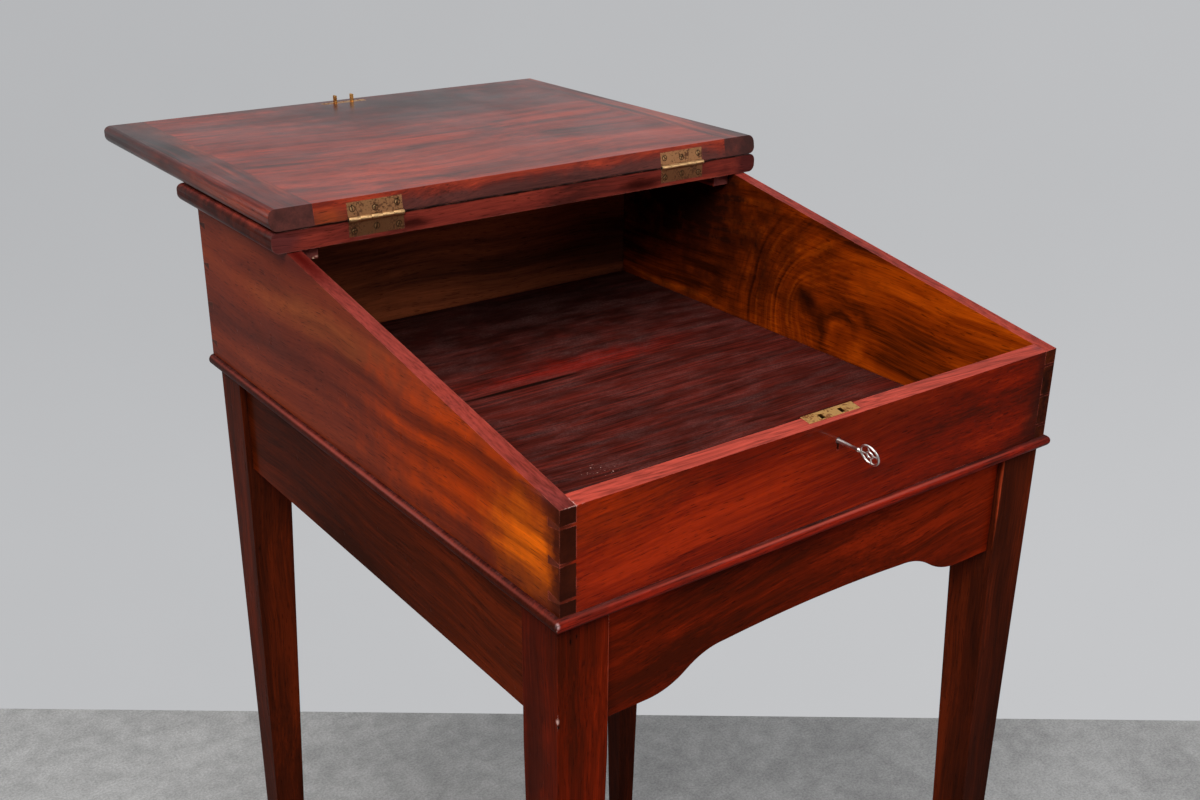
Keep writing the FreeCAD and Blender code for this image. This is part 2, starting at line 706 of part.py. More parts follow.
def lid_tongue(side, spare):
    """Tongue of the lid's panel that a clamp is pushed on to."""
    joint = BOARD_HALF - CLAMP_WIDTH
    middle = AXIS_Z + LID_GAP / 2.0 + LID_THICK / 2.0
    xs = sorted((side * joint, side * (joint + TONGUE_LENGTH + spare)))
    return block(xs[0], xs[1], AXIS_Y + TONGUE_INSET, AXIS_Y + LID_LENGTH - TONGUE_INSET,
                 middle - TONGUE_THICK / 2.0, middle + TONGUE_THICK / 2.0)


def lid_end_zone(side):
    """Space that belongs to one clamp."""
    joint = BOARD_HALF - CLAMP_WIDTH
    xs = sorted((side * joint, side * (BOARD_HALF + 1.0)))
    return block(xs[0], xs[1], AXIS_Y - 50.0, AXIS_Y + LID_LENGTH + 50.0, AXIS_Z - 50.0,
                 AXIS_Z + 100.0)


def lid_panel():
    """Middle of the lid with its tongues, the leaves' recesses and the link plate's recess."""
    panel = lid_blank()
    for side in (-1.0, 1.0):
        panel = panel.cut(lid_end_zone(side))
    for side in (-1.0, 1.0):
        panel = panel.fuse(lid_tongue(side, 0.0))
    panel = panel.removeSplitter()
    for x in HINGE_XS:
        panel = panel.cut(closed_to_open(mirror_to_lid(leaf_blank(x, SCREW_FIT))))
        panel = panel.cut(knuckle_room(x))
    panel = panel.cut(link_plate_blank(SCREW_FIT))
    return drilled(panel, lid_leaf_screws() + link_plate_screws())


def lid_clamp(side):
    """Cross piece at one end of the lid, grooved for the tongue."""
    return lid_blank().common(lid_end_zone(side)).cut(lid_tongue(side, MORTISE_SPARE))


# ---------------------------------------------------------------- lock, link plate and key

def link_plate_blank(spare):
    """Plate let into the lid's face above the lock, on the open lid."""
    face = AXIS_Z - LID_FACE
    middle = flat_y(SLOT_Y)
    half_x = LINK_PLATE_LENGTH / 2.0 + spare
    half_y = LINK_PLATE_WIDTH / 2.0 + spare
    return level_to_open(block(LOCK_X - half_x, LOCK_X + half_x, middle - half_y, middle + half_y,
                               face, face + LINK_PLATE_THICK + spare))


def link_plate_screws():
    """Three screws down through the link plate into the open lid."""
    z = AXIS_Z + LID_FACE
    y = 2.0 * AXIS_Y - flat_y(SLOT_Y)
    reach = LINK_PLATE_LENGTH / 2.0 - LINK_SCREW_END
    return [Screw(2.9, 1.4, 12.0, V(LOCK_X + share * reach, y, z), -Z_AXIS, turn)
            for share, turn in ((-1.0, 30.0), (0.0, 75.0), (1.0, 120.0))]


def link(x):
    """One link with its eye, closed and level: it hangs down from the lid's face."""
    face = AXIS_Z - LID_FACE
    middle = flat_y(SLOT_Y)
    body = block(x - LINK_THICK / 2.0, x + LINK_THICK / 2.0, middle - LINK_WIDTH / 2.0,
                 middle + LINK_WIDTH / 2.0, face - LINK_LENGTH, face + LINK_PLATE_THICK / 2.0)
    eye = block(x - LINK_THICK, x + LINK_THICK, middle - LINK_EYE_WIDTH / 2.0,
                middle + LINK_EYE_WIDTH / 2.0, face - LINK_EYE_DEPTH - LINK_EYE_HEIGHT / 2.0,
                face - LINK_EYE_DEPTH + LINK_EYE_HEIGHT / 2.0)
    tip = face - LINK_LENGTH
    body = rounded(body, LINK_THICK * 0.3, lambda box: box.ZMax < tip + 0.1 and box.XLength < 0.1)
    return body.cut(eye)


def link_plate():
    """Link plate with both links, on the open lid."""
    plate = link_plate_blank(0.0)
    for x in LINK_XS:
        plate = plate.fuse(level_to_open(link(x)))
    return drilled(plate.removeSplitter(), link_plate_screws())


def lock_plate():
    """Selvedge with its two slots, and the back plate that hangs from it inside the box."""
    top = AXIS_Z - SLOPE_DROP
    selvedge = selvedge_blank(0.0)
    middle = flat_y(SLOT_Y)
    for x in LINK_XS:
        selvedge = selvedge.cut(block(x - SLOT_WIDTH / 2.0, x + SLOT_WIDTH / 2.0,
                                      middle - SLOT_DEPTH / 2.0, middle + SLOT_DEPTH / 2.0,
                                      top - SELVEDGE_THICK - 1.0, top + 1.0))
    half = SELVEDGE_LENGTH / 2.0
    y0 = WALL
    y1 = WALL + BACK_PLATE_THICK
    low = LOCK_Z - BACK_PLATE_DROP
    under = SELVEDGE_THICK / 2.0
    back = prism_x([(y0, low), (y1, low), (y1, slope_z(y1) - under), (y0, slope_z(y0) - under)],
                   LOCK_X - half, LOCK_X + half)
    plate = back.fuse(level_to_slope(selvedge)).removeSplitter()
    for x, z in guide_spots():
        plate = plate.cut(rod(GUIDE_RADIUS + SCREW_FIT, V(x, y0 - 1.0, z), Y_AXIS, 4.0))
    drill = rod(DRILL_PIN_RADIUS + SCREW_FIT, V(LOCK_X, y0 - 1.0, LOCK_Z), Y_AXIS, 4.0)
    return drilled(plate.cut(drill), lock_screws())


def lock_screws():
    """Screws through the back plate into the front board, outside the mortise."""
    reach = (SELVEDGE_LENGTH + CASE_WIDTH) / 4.0
    face = WALL + BACK_PLATE_THICK
    screws = []
    for side in (-1.0, 1.0):
        for rise, turn in ((-12.0, 55.0), (8.0, 10.0)):
            screws.append(Screw(2.3, 1.1, 11.0, V(LOCK_X + side * reach, face, LOCK_Z + rise),
                                -Y_AXIS, turn * side))
    return screws


def lock_case():
    """Case behind the front board: a tray whose lid is the back plate."""
    half = CASE_WIDTH / 2.0
    low = LOCK_Z - CASE_DROP
    drop = SELVEDGE_THICK / math.cos(SLOPE)

    def tray(inset, y0):
        section = [(y0, low + inset), (WALL, low + inset), (WALL, slope_z(WALL) - drop),
                   (y0, slope_z(y0) - drop)]
        return prism_x(section, LOCK_X - half + inset, LOCK_X + half - inset)

    hollow = tray(CASE_WALL, CASE_FRONT + CASE_WALL)
    hollow = hollow.fuse(hollow.translated(V(0, 1.0, 5.0)))
    case = tray(0.0, CASE_FRONT).cut(hollow)
    return case.cut(keyhole(CASE_FRONT - 1.0, CASE_FRONT + CASE_WALL + 1.0))


def lock_bolt():
    """Sliding bolt: a bar with a notch for the key's bit and a prong beside each link."""
    y0 = EYE_Y - BOLT_THICK / 2.0
    y1 = EYE_Y + BOLT_THICK / 2.0
    prong_low = EYE_Z - PRONG_HEIGHT / 2.0
    prong_high = EYE_Z + PRONG_HEIGHT / 2.0
    reach = LINK_THICK / 2.0 + PRONG_START
    notch_top = KEY_BIT_RADIUS + 0.5
    notch_half = KEY_BIT_RADIUS + KEY_BIT_THICK / 2.0
    notch_middle = LOCK_X + BOLT_TRAVEL / 2.0
    posts = [x + reach + BOLT_TRAVEL for x in LINK_XS]
    left = LINK_XS[0] - reach - BOLT_TAIL
    bar = block(left, posts[1] + PRONG_POST, y0, y1, LOCK_Z + BOLT_LOW, LOCK_Z + BOLT_HIGH)
    bar = bar.cut(block(notch_middle - notch_half, notch_middle + notch_half, y0 - 1.0, y1 + 1.0,
                        LOCK_Z, LOCK_Z + notch_top))
    for x, post in zip(LINK_XS, posts):
        bar = bar.fuse(block(post, post + PRONG_POST, y0, y1, LOCK_Z + BOLT_HIGH - 1.0,
                             prong_high))
        bar = bar.fuse(block(x + reach, post + 1.0, y0, y1, prong_low, prong_high))
    return bar.removeSplitter()


def guide_spots():
    """Places in X and Z of the three studs that the bolt slides between."""
    below = LOCK_Z + BOLT_LOW - GUIDE_RADIUS - 0.1
    above = LOCK_Z + BOLT_HIGH + GUIDE_RADIUS + 0.1
    spread = SLOT_SPACING * 0.6
    return [(LOCK_X - spread, below), (LOCK_X + spread, below), (LOCK_X + 5.0, above)]


def bolt_guides():
    """Studs riveted to the back plate."""
    start = CASE_FRONT + CASE_WALL + 0.6
    return [rod(GUIDE_RADIUS, V(x, start, z), Y_AXIS, WALL + BACK_PLATE_THICK - start)
            for x, z in guide_spots()]


def drill_pin():
    """Fixed pin that the hollow key turns on."""
    start = CASE_FRONT + CASE_WALL + 0.6
    return rod(DRILL_PIN_RADIUS, V(LOCK_X, start, LOCK_Z), Y_AXIS,
               WALL + BACK_PLATE_THICK - start)


def key_bow():
    """Flat round bow: a rim, a bar along the shank, a ring and four spokes."""
    centre = V(LOCK_X - KEY_BOW_THICK / 2.0, -KEY_BOW_CENTRE, LOCK_Z)
    small = KEY_BOW_RADIUS * 0.42

    def washer(outer, inner):
        disc = Part.makeCylinder(outer, KEY_BOW_THICK, centre, X_AXIS)
        return disc.cut(Part.makeCylinder(inner, KEY_BOW_THICK, centre, X_AXIS))

    bow = washer(KEY_BOW_RADIUS, KEY_BOW_RADIUS - KEY_BOW_RIM)
    bow = bow.fuse(washer(small, small - 1.5))
    spoke_end = KEY_BOW_RADIUS - KEY_BOW_RIM / 2.0
    for angle in (0.0, 60.0, 120.0):
        spoke = block(LOCK_X - KEY_BOW_THICK / 2.0, LOCK_X + KEY_BOW_THICK / 2.0,
                      -KEY_BOW_CENTRE - spoke_end, -KEY_BOW_CENTRE + spoke_end,
                      LOCK_Z - KEY_BOW_BAR / 2.0, LOCK_Z + KEY_BOW_BAR / 2.0)
        if angle:
            spoke = spoke.cut(Part.makeCylinder(small - 0.7, KEY_BOW_THICK, centre, X_AXIS))
        spoke.rotate(V(LOCK_X, -KEY_BOW_CENTRE, LOCK_Z), X_AXIS, angle)
        bow = bow.fuse(spoke)
    return bow


def key():
    """Hollow key with a plain bit and a pierced bow, turned a little from upright."""
    neck = -KEY_BOW_CENTRE + KEY_BOW_RADIUS - KEY_BOW_RIM / 2.0
    whole = rod(KEY_SHANK_RADIUS, V(LOCK_X, neck, LOCK_Z), Y_AXIS, KEY_TIP - neck)
    collar_y = -KEY_BOW_CENTRE + KEY_BOW_RADIUS + 1.0
    whole = whole.fuse(rod(KEY_COLLAR_RADIUS, V(LOCK_X, collar_y, LOCK_Z), Y_AXIS,
                           KEY_COLLAR_LENGTH))
    bit_end = KEY_TIP - 0.4
    whole = whole.fuse(block(LOCK_X - KEY_BIT_THICK / 2.0, LOCK_X + KEY_BIT_THICK / 2.0,
                             bit_end - KEY_BIT_WIDTH, bit_end, LOCK_Z - KEY_BIT_RADIUS,
                             LOCK_Z - KEY_SHANK_RADIUS / 2.0))
    whole = whole.fuse(key_bow())
    bore = rod(DRILL_PIN_RADIUS + PIN_FIT, V(LOCK_X, CASE_FRONT - 3.0, LOCK_Z), Y_AXIS, 40.0)
    whole = whole.cut(bore).removeSplitter()
    whole.rotate(V(LOCK_X, 0, LOCK_Z), -Y_AXIS, KEY_REST_DEG)
    return whole


# ---------------------------------------------------------------- assembly and files

def make_nodes():
    """Every node's name and its solids."""
    nodes = {}
    for side, side_name in ((-1.0, "left"), (1.0, "right")):
        nodes["leg_front_" + side_name] = [leg(side, False)]
        nodes["leg_back_" + side_name] = [leg(side, True)]
        nodes[side_name + "_apron"] = [side_apron(side)]
        nodes["box_side_" + side_name] = [box_side(side)]
        nodes["lid_clamp_" + side_name] = [lid_clamp(side)]
    for x, side_name in zip(HINGE_XS, ("left", "right")):
        fixed_leaf = hinge_leaf(x, 0, 0.0)
        lid_leaf = closed_to_open(mirror_to_lid(hinge_leaf(x, 1, PIN_FIT)))
        nodes["hinge_fixed_leaf_" + side_name] = [drilled(fixed_leaf, leaf_screws())]
        nodes["hinge_lid_leaf_" + side_name] = [drilled(lid_leaf, lid_leaf_screws())]
        nodes["hinge_pin_" + side_name] = [hinge_pin(x)]
    nodes["front_apron"] = [front_apron()]
    nodes["back_apron"] = [back_apron()]
    nodes["stand_blocks"] = stand_blocks()
    nodes["stand_block_screws"] = [screw.solid() for screw in stand_block_screws()]
    nodes["bottom_board"] = [bottom_board()]
    nodes["bottom_screws"] = [screw.solid() for screw in bottom_screws()]
    nodes["box_front"] = [front_board()]
    nodes["box_back"] = [back_board()]
    nodes["fixed_board"] = [fixed_board()]
    nodes["fixed_board_blocks"] = board_blocks()
    nodes["fixed_board_block_screws"] = [screw.solid() for screw in board_block_screws()]
    nodes["lid_panel"] = [lid_panel()]
    nodes["hinge_fixed_leaf_screws"] = [screw.solid() for screw in leaf_screws()]
    nodes["hinge_lid_leaf_screws"] = [screw.solid() for screw in lid_leaf_screws()]
    nodes["link_plate"] = [link_plate()]
    nodes["link_plate_screws"] = [screw.solid() for screw in link_plate_screws()]
    nodes["lock_plate"] = [lock_plate()]
    nodes["lock_case"] = [lock_case()]
    nodes["lock_bolt"] = [lock_bolt()]
    nodes["lock_bolt_guides"] = bolt_guides()
    nodes["lock_drill_pin"] = [drill_pin()]
    nodes["lock_screws"] = [screw.solid() for screw in lock_screws()]
    nodes["key"] = [key()]
    return nodes


def write_nodes():
    """Centres the desk on the origin along Y and writes one file for each node."""
    os.makedirs("parts", exist_ok=True)
    front = -KEY_BOW_CENTRE - KEY_BOW_RADIUS
    back = AXIS_Y + LID_LENGTH
    shift = V(0, -(front + back) / 2.0, 0)
    for name, solids in make_nodes().items():
        shape = solids[0] if len(solids) == 1 else Part.makeCompound(solids)
        shape.translate(shift)
        shape.exportStep("parts/" + name + ".step")
    print("shift along Y:", shift.y)


write_nodes()
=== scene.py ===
# %% [markdown]
# # A mahogany clerk's standing desk
#
# The boards, the hinges and the lock come as finished solids from the frame. What is left to do in
# Blender is what makes them look like an old desk: softened arrises, grain that follows each
# board, French polish, tarnished brass, and a key whose surfaces are too fine for a solid. The
# frame is loaded first and measured.

# %% Load the frame
import json
import math

import bmesh
import bpy
import numpy as np
from mathutils import Matrix, Vector


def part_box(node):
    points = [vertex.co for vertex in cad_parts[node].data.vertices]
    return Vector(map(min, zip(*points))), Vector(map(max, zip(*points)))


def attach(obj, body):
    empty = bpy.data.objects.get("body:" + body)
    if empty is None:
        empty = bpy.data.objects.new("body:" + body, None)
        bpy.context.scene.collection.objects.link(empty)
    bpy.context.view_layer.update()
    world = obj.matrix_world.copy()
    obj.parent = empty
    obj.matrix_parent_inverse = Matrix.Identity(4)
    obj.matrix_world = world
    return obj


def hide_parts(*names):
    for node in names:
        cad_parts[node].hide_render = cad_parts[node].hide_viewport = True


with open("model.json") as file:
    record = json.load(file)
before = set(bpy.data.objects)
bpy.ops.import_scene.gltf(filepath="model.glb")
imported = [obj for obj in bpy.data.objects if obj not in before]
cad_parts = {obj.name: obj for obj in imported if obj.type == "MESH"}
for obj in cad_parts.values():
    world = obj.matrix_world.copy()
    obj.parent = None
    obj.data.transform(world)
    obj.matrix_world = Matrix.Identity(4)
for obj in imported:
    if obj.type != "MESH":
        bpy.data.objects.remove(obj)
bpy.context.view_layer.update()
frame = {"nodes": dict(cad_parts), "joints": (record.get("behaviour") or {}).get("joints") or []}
nodes = frame["nodes"]

# %% [markdown]
# ## The camera
#
# A camera is a place and three directions. The view is from the front left and above, about
# 37 degrees round and 23 degrees down, with a very slight roll, as a hand-held camera has. The
# directions are worked out from those angles, which is easier to read and to change than a
# rotation matrix typed in.

# %% Camera
VIEW_AZIMUTH = math.radians(36.6)
VIEW_DOWN = math.radians(22.92)
VIEW_ROLL = math.radians(0.58)
CAMERA_PLACE = Vector((-0.8287, -1.2185, 1.5894))
IMAGE_WIDTH = 1200.0
FOCAL_PIXELS = 1357.3
SENSOR_WIDTH = 36.0


def camera_matrix(place, azimuth, down, roll):
    """Columns are the camera's right, up and backward directions; forward is azimuth, then down."""
    forward = Vector((math.sin(azimuth) * math.cos(down), math.cos(azimuth) * math.cos(down),
                      -math.sin(down)))
    right = forward.cross(Vector((0.0, 0.0, 1.0))).normalized()
    up = right.cross(forward)
    rolled_right = math.cos(roll) * right + math.sin(roll) * up
    rolled_up = -math.sin(roll) * right + math.cos(roll) * up
    turn = Matrix((rolled_right, rolled_up, -forward)).transposed()
    return Matrix.Translation(place) @ turn.to_4x4()


camera = bpy.data.objects.new("camera", bpy.data.cameras.new("camera"))
bpy.context.scene.collection.objects.link(camera)
camera.data.sensor_width = SENSOR_WIDTH
camera.data.lens = FOCAL_PIXELS / IMAGE_WIDTH * SENSOR_WIDTH
camera.matrix_world = camera_matrix(CAMERA_PLACE, VIEW_AZIMUTH, VIEW_DOWN, VIEW_ROLL)
bpy.context.scene.camera = camera
bpy.context.scene.view_settings.view_transform = "Standard"
print("lens:", round(camera.data.lens, 2), "mm")

# %% [markdown]
# ## Putting a finish together
#
# Every finish here is a tree of nodes. Adding nodes by hand takes three lines each, so this small
# class adds one node per call and hands back its output. A number or a colour goes straight on to
# a socket, and an output is linked to it.

# %% A tree of nodes


class NodeTree:
    """A material in the making. Most methods add a node and return its output socket."""

    def __init__(self, name):
        self.material = bpy.data.materials.new(name)
        self.material.use_nodes = True
        self.tree = self.material.node_tree
        self.shader = self.tree.nodes["Principled BSDF"]
        self.place = self.node("ShaderNodeTexCoord").outputs["Object"]

    def put(self, socket, value):
        """Links an output to the socket, or sets the socket's own number, vector or colour."""
        if isinstance(value, bpy.types.NodeSocket):
            self.tree.links.new(value, socket)
        elif isinstance(value, (tuple, list)) and len(socket.default_value) == 4 and len(value) == 3:
            socket.default_value = (*value, 1.0)
        else:
            socket.default_value = value

    def node(self, kind, values=(), **settings):
        """Adds a node with those settings; values are its sockets' values by name or number."""
        made = self.tree.nodes.new(kind)
        for name, value in settings.items():
            setattr(made, name, value)
        for key, value in dict(values).items():
            self.put(made.inputs[key], value)
        return made

    def surface(self, **values):
        """Sets the shader's own sockets; an underscore in a name stands for a space."""
        for name, value in values.items():
            self.put(self.shader.inputs[name.replace("_", " ")], value)

    def math(self, operation, a, b=0.0, clamp=False):
        return self.node("ShaderNodeMath", {0: a, 1: b}, operation=operation,
                         use_clamp=clamp).outputs[0]

    def vector(self, operation, a, b=(0.0, 0.0, 0.0)):
        made = self.node("ShaderNodeVectorMath", {0: a, 1: b}, operation=operation)
        return made.outputs["Value" if operation in ("DOT_PRODUCT", "LENGTH") else "Vector"]

    def fade(self, fac, a, b):
        """a + fac (b - a), for plain numbers."""
        return self.math("ADD", a, self.math("MULTIPLY", fac, self.math("SUBTRACT", b, a)))


print("plain helpers:", [name for name in vars(NodeTree) if not name.startswith("_")])

# %% [markdown]
# ## Patterns and masks
#
# Noise makes grain and dirt, and the shader itself finds the edges and corners of a piece, so wear
# on the edges, and painted shade with some dirt in the corners, follow any shape without an image
# texture.

# %% Patterns and masks
EDGE_SAMPLES = 4


class Finish(NodeTree):
    """A node tree with noises, ramps, bumps and masks."""

    def stretch(self, place, factors, shift=(0.0, 0.0, 0.0), turn=(0.0, 0.0, 0.0)):
        return self.node("ShaderNodeMapping", {"Vector": place, "Scale": factors,
                                               "Location": shift, "Rotation": turn}).outputs[0]

    def noise(self, place, scale, detail=3.0, rough=0.5, distort=0.0, colour=False):
        made = self.node("ShaderNodeTexNoise", {"Vector": place, "Scale": scale, "Detail": detail,
                                                "Roughness": rough, "Distortion": distort})
        return made.outputs["Color" if colour else "Fac"]

    def ramp(self, fac, *stops):
        """A colour ramp; each stop is (position, colour), or (position, grey number)."""
        made = self.node("ShaderNodeValToRGB", {0: fac})
        band = made.color_ramp
        while len(band.elements) < len(stops):
            band.elements.new(1.0)
        for element, (position, colour) in zip(band.elements, stops):
            element.position = position
            shade = colour if isinstance(colour, tuple) else (colour,) * 3
            element.color = (*shade, 1.0)
        return made.outputs[0]

    def span(self, value, low, high, out_low=0.0, out_high=1.0):
        """Maps low to high on to out_low to out_high, smoothly, and clamps past them."""
        return self.node("ShaderNodeMapRange", {0: value, 1: low, 2: high, 3: out_low, 4: out_high},
                         interpolation_type="SMOOTHSTEP").outputs[0]

    def mix(self, fac, a, b, blend="MIX"):
        made = self.node("ShaderNodeMix", {0: fac, 6: a, 7: b}, data_type="RGBA", blend_type=blend)
        return made.outputs[2]

    def bump(self, height, strength, distance, below=None):
        values = {"Height": height, "Strength": strength, "Distance": distance}
        if below is not None:
            values["Normal"] = below
        return self.node("ShaderNodeBump", values).outputs[0]

    def arris(self, radius):
        """1 on an edge of the piece, falling to 0 within the radius: how far a rounded normal turns."""
        rounded = self.node("ShaderNodeBevel", {"Radius": radius}, samples=EDGE_SAMPLES).outputs[0]
        flat = self.node("ShaderNodeNewGeometry").outputs["Normal"]
        return self.math("SUBTRACT", 1.0, self.vector("DOT_PRODUCT", rounded, flat))

    def opening(self, distance):
        """1 in the open, less in corners and slots: how much of the sky near by can be seen."""
        return self.node("ShaderNodeAmbientOcclusion", {"Distance": distance},
                         samples=EDGE_SAMPLES).outputs["AO"]

    def blob(self, centre, reach, wander=None):
        """1 at a place in the frame, falling smoothly to 0 at the ellipsoid of that reach.

        wander is a vector in parts of the reach that pushes the ellipsoid's edge about.
        """
        factors = tuple(1.0 / r for r in reach)
        shift = tuple(-c / r for c, r in zip(centre, reach))
        offset = self.stretch(self.place, factors, shift)
        if wander is not None:
            offset = self.vector("ADD", offset, wander)
        return self.span(self.vector("LENGTH", offset), 1.0, 0.0)


print("patterns and masks:", [name for name in vars(Finish) if not name.startswith("_")])

# %% [markdown]
# ## Colours as a maker reads them
#
# A stain chart gives its colours as three numbers up to 255. The shader wants linear light, so a
# chart colour is converted once, here, by the usual curve. The marks that age leaves are the same
# on every board: pale chips, dark dirt and greyish dust. The same dark colour also paints shade in
# corners and in the gaps between parts.

# %% Chart colours


def tone(red, green, blue):
    """Linear colour of a chart colour: v / 12.92 near black, else ((v + 0.055) / 1.055) ^ 2.4."""
    parts = [value / 255.0 for value in (red, green, blue)]
    return tuple(v / 12.92 if v <= 0.04045 else ((v + 0.055) / 1.055) ** 2.4 for v in parts)


CHIP = tone(205, 165, 155)
DIRT_AND_SHADE = tone(24, 9, 6)
# dark dirt, and also the colour of painted shade in corners and in gaps between parts
DUST = tone(156, 112, 108)
print("a chip is", [round(v, 4) for v in CHIP], "and dirt", [round(v, 4) for v in DIRT_AND_SHADE])

# %% [markdown]
# ## How mahogany grows
#
# A board's grain is a solid pattern: long in the direction in which the tree grew and fine across
# it. Noise on coordinates that are squeezed along the grain gives that, and because the pattern
# fills space, it wraps round the board's edges by itself. Five sizes of it are laid over one
# another: broad bands of figure, streaks, fine lines, fibres, and the short dark pores that mark
# mahogany. The coordinates are first bent by a slow noise, so that no streak is ruled straight.
# Where a branch left the trunk, at a crotch, the grain folds round a point.

# %% The grain
GRAIN_TURNS = {"x": (0.0, 0.0, 0.0), "y": (0.0, 0.0, -math.pi / 2), "z": (0.0, math.pi / 2, 0.0)}
GRAIN_AXES = {"x": (1.0, 0.0, 0.0), "y": (0.0, 1.0, 0.0), "z": (0.0, 0.0, 1.0)}
SEED_STEP = (1.7, 0.9, 2.3)
MIDDLE_GREY = (0.5, 0.5, 0.5)
ACROSS_X = (0.0, 1.0, 1.0)
FEATHER_AXIS = (0.0, 0.93, 0.37)
BAND_SQUEEZE = 0.09
STREAK_SQUEEZE = 0.05
LINES = dict(squeeze=0.02, scale=420.0, rough=0.6)
FIBRES = dict(squeeze=0.03, scale=1100.0, detail=2.0, rough=0.6)
PORES = dict(squeeze=0.06, scale=900.0, detail=1.0)


def grain_place(f, along, seed, tilt, waves):
    """Coordinates with X along the grain, leaning by tilt and bent by a slow noise."""
    shift = tuple(seed * step for step in SEED_STEP)
    turned = f.stretch(f.place, (1.0, 1.0, 1.0), shift, GRAIN_TURNS[along])
    leaned = f.stretch(turned, (1.0, 1.0, 1.0), turn=(0.0, tilt, tilt))
    drift = f.vector("SUBTRACT", f.noise(leaned, 2.6, 2.0, 0.5, colour=True), MIDDLE_GREY)
    return f.vector("ADD", leaned, f.vector("MULTIPLY", drift, (0.0, waves, waves)))


def drawn_out(f, place, squeeze, scale, detail=3.0, rough=0.5, distort=0.0):
    """Noise on coordinates squeezed along X, which draws its clouds out into streaks."""
    return f.noise(f.stretch(place, (squeeze, 1.0, 1.0)), scale, detail, rough, distort)


def fold_round(f, feather, bands, streaks, band, streak):
    """Bands and streaks folded round the crotch (centre, reach) of a board across X.

    With r the distance from the centre and s the way along FEATHER_AXIS, the lines
    r + s = constant are parabolas about that axis.
    """
    centre, reach = feather
    offset = f.vector("MULTIPLY", f.vector("SUBTRACT", f.place, centre), ACROSS_X)
    wobble = f.math("MULTIPLY", f.math("SUBTRACT", f.noise(f.place, 16.0, 3.0), 0.5), 0.03)
    away = f.math("ADD", f.vector("LENGTH", offset), wobble)
    behind = f.vector("DOT_PRODUCT", offset, FEATHER_AXIS)
    folds = f.node("ShaderNodeCombineXYZ", {0: f.math("SUBTRACT", away, behind),
                                            1: f.math("ADD", away, behind)}).outputs[0]
    inside = f.span(f.blob(centre, reach), 0.0, 0.7, 0.0, 0.9)
    return (f.fade(inside, bands, drawn_out(f, folds, 0.12, band * 1.7)),
            f.fade(inside, streaks, drawn_out(f, folds, 0.08, streak)))


print("fine grain:", {"lines": LINES, "fibres": FIBRES, "pores": PORES})

# %% [markdown]
# ## What age adds
#
# A century leaves its marks in known places. Patches of another tone come from light, hands and
# spills, and the grain shows through them; a few patches paint light and shade instead, a glow near
# a front edge and the shade under the fixed board. End grain drinks stain and comes out darker, and
# faces that look up gather dust and get a paler tone as a painted sheen. Flakes of polish chip off
# at the arrises.

# %% Marks of age
UP = (0.0, 0.0, 1.0)
WANDER = (1.1, 1.1, 1.1)
CHIP_CUT = 0.50
SPECK_CUT = 0.71
CUT_WIDTH = 0.04


def lay_patches(f, wood, figure, shade, patches):
    """Lays patches (centre, reach, colour, strength) with wandering, ragged edges."""
    clouds = f.noise(f.place, 34.0, 4.0, 0.6, colour=True)
    wander = f.vector("MULTIPLY", f.vector("SUBTRACT", clouds, MIDDLE_GREY), WANDER)
    for centre, reach, colour, strength in patches:
        ragged = f.math("MULTIPLY", f.blob(centre, reach, wander),
                        f.span(figure, 0.35, 0.65, 0.75, 1.25))
        wood = f.mix(f.math("MULTIPLY", ragged, strength, clamp=True), wood,
                     f.mix(1.0, colour, shade, "MULTIPLY"))
    return wood


def darken_ends(f, wood, facing, along, end, shade):
    """Gives the faces across the grain the tone end."""
    ending = f.math("ABSOLUTE", f.vector("DOT_PRODUCT", facing, GRAIN_AXES[along]))
    return f.mix(f.span(ending, 0.6, 0.95, 0.0, 0.85), wood, f.mix(0.6, end, shade, "MULTIPLY"))


def paint_top_sheen(f, wood, looks_up, top_sheen, lines, shade):
    """Gives the faces that look up the tone top, a paler colour that paints a sheen on them, striped by
    the fine lines.
    """
    striped = f.mix(0.9, top_sheen, f.ramp(lines, (0.34, 0.62), (0.5, 1.0), (0.66, 1.28)), "MULTIPLY")
    return f.mix(f.math("MULTIPLY", looks_up, 0.85), wood, f.mix(0.6, striped, shade, "MULTIPLY"))


def lay_dust(f, wood, bent, facing, dust):
    """Clouds of gritty dust on faces that look up."""
    cloud = f.span(drawn_out(f, bent, 0.3, 44.0, 6.0, 0.7), 0.38, 0.74)
    grit = f.span(drawn_out(f, bent, 0.5, 800.0, 2.0, 0.6), 0.40, 0.62)
    cloud = f.math("MULTIPLY", cloud, f.math("ADD", 0.35, f.math("MULTIPLY", grit, 0.9)))
    upward = f.span(f.vector("DOT_PRODUCT", facing, UP), 0.8, 0.97)
    cloud = f.math("MULTIPLY", cloud, upward)
    return f.mix(f.math("MULTIPLY", cloud, dust), wood, DUST)


def lay_flakes(f, wood, on_arris, chips, specks):
    """Small pale flakes near each (centre, reach): chips on arrises only, specks anywhere."""
    flakes = f.noise(f.place, 520.0, 2.0, 0.5)
    spots = [(chip, on_arris, CHIP_CUT) for chip in chips]
    spots += [(speck, 1.0, SPECK_CUT) for speck in specks]
    for spot, where, cut in spots:
        near = f.blob(*spot)
        flaked = f.span(f.math("ADD", flakes, f.math("MULTIPLY", near, 0.04)),
                        cut, cut + CUT_WIDTH)
        flaked = f.math("MULTIPLY", f.math("MULTIPLY", flaked, where), f.span(near, 0.0, 0.3))
        wood = f.mix(f.math("MULTIPLY", flaked, 0.9), wood, CHIP)
    return wood


print("flakes show above", CHIP_CUT, "on arrises and above", SPECK_CUT, "on flats")

# %% [markdown]
# ## Polish
#
# French polish is thin, cloudy, a little rippled, and sinks into the pores. On the shader it is
# the coat, a clear layer with its own roughness above the wood.

# %% The polish
COAT_ROUGHNESS = 0.15
COAT_IOR = 1.5


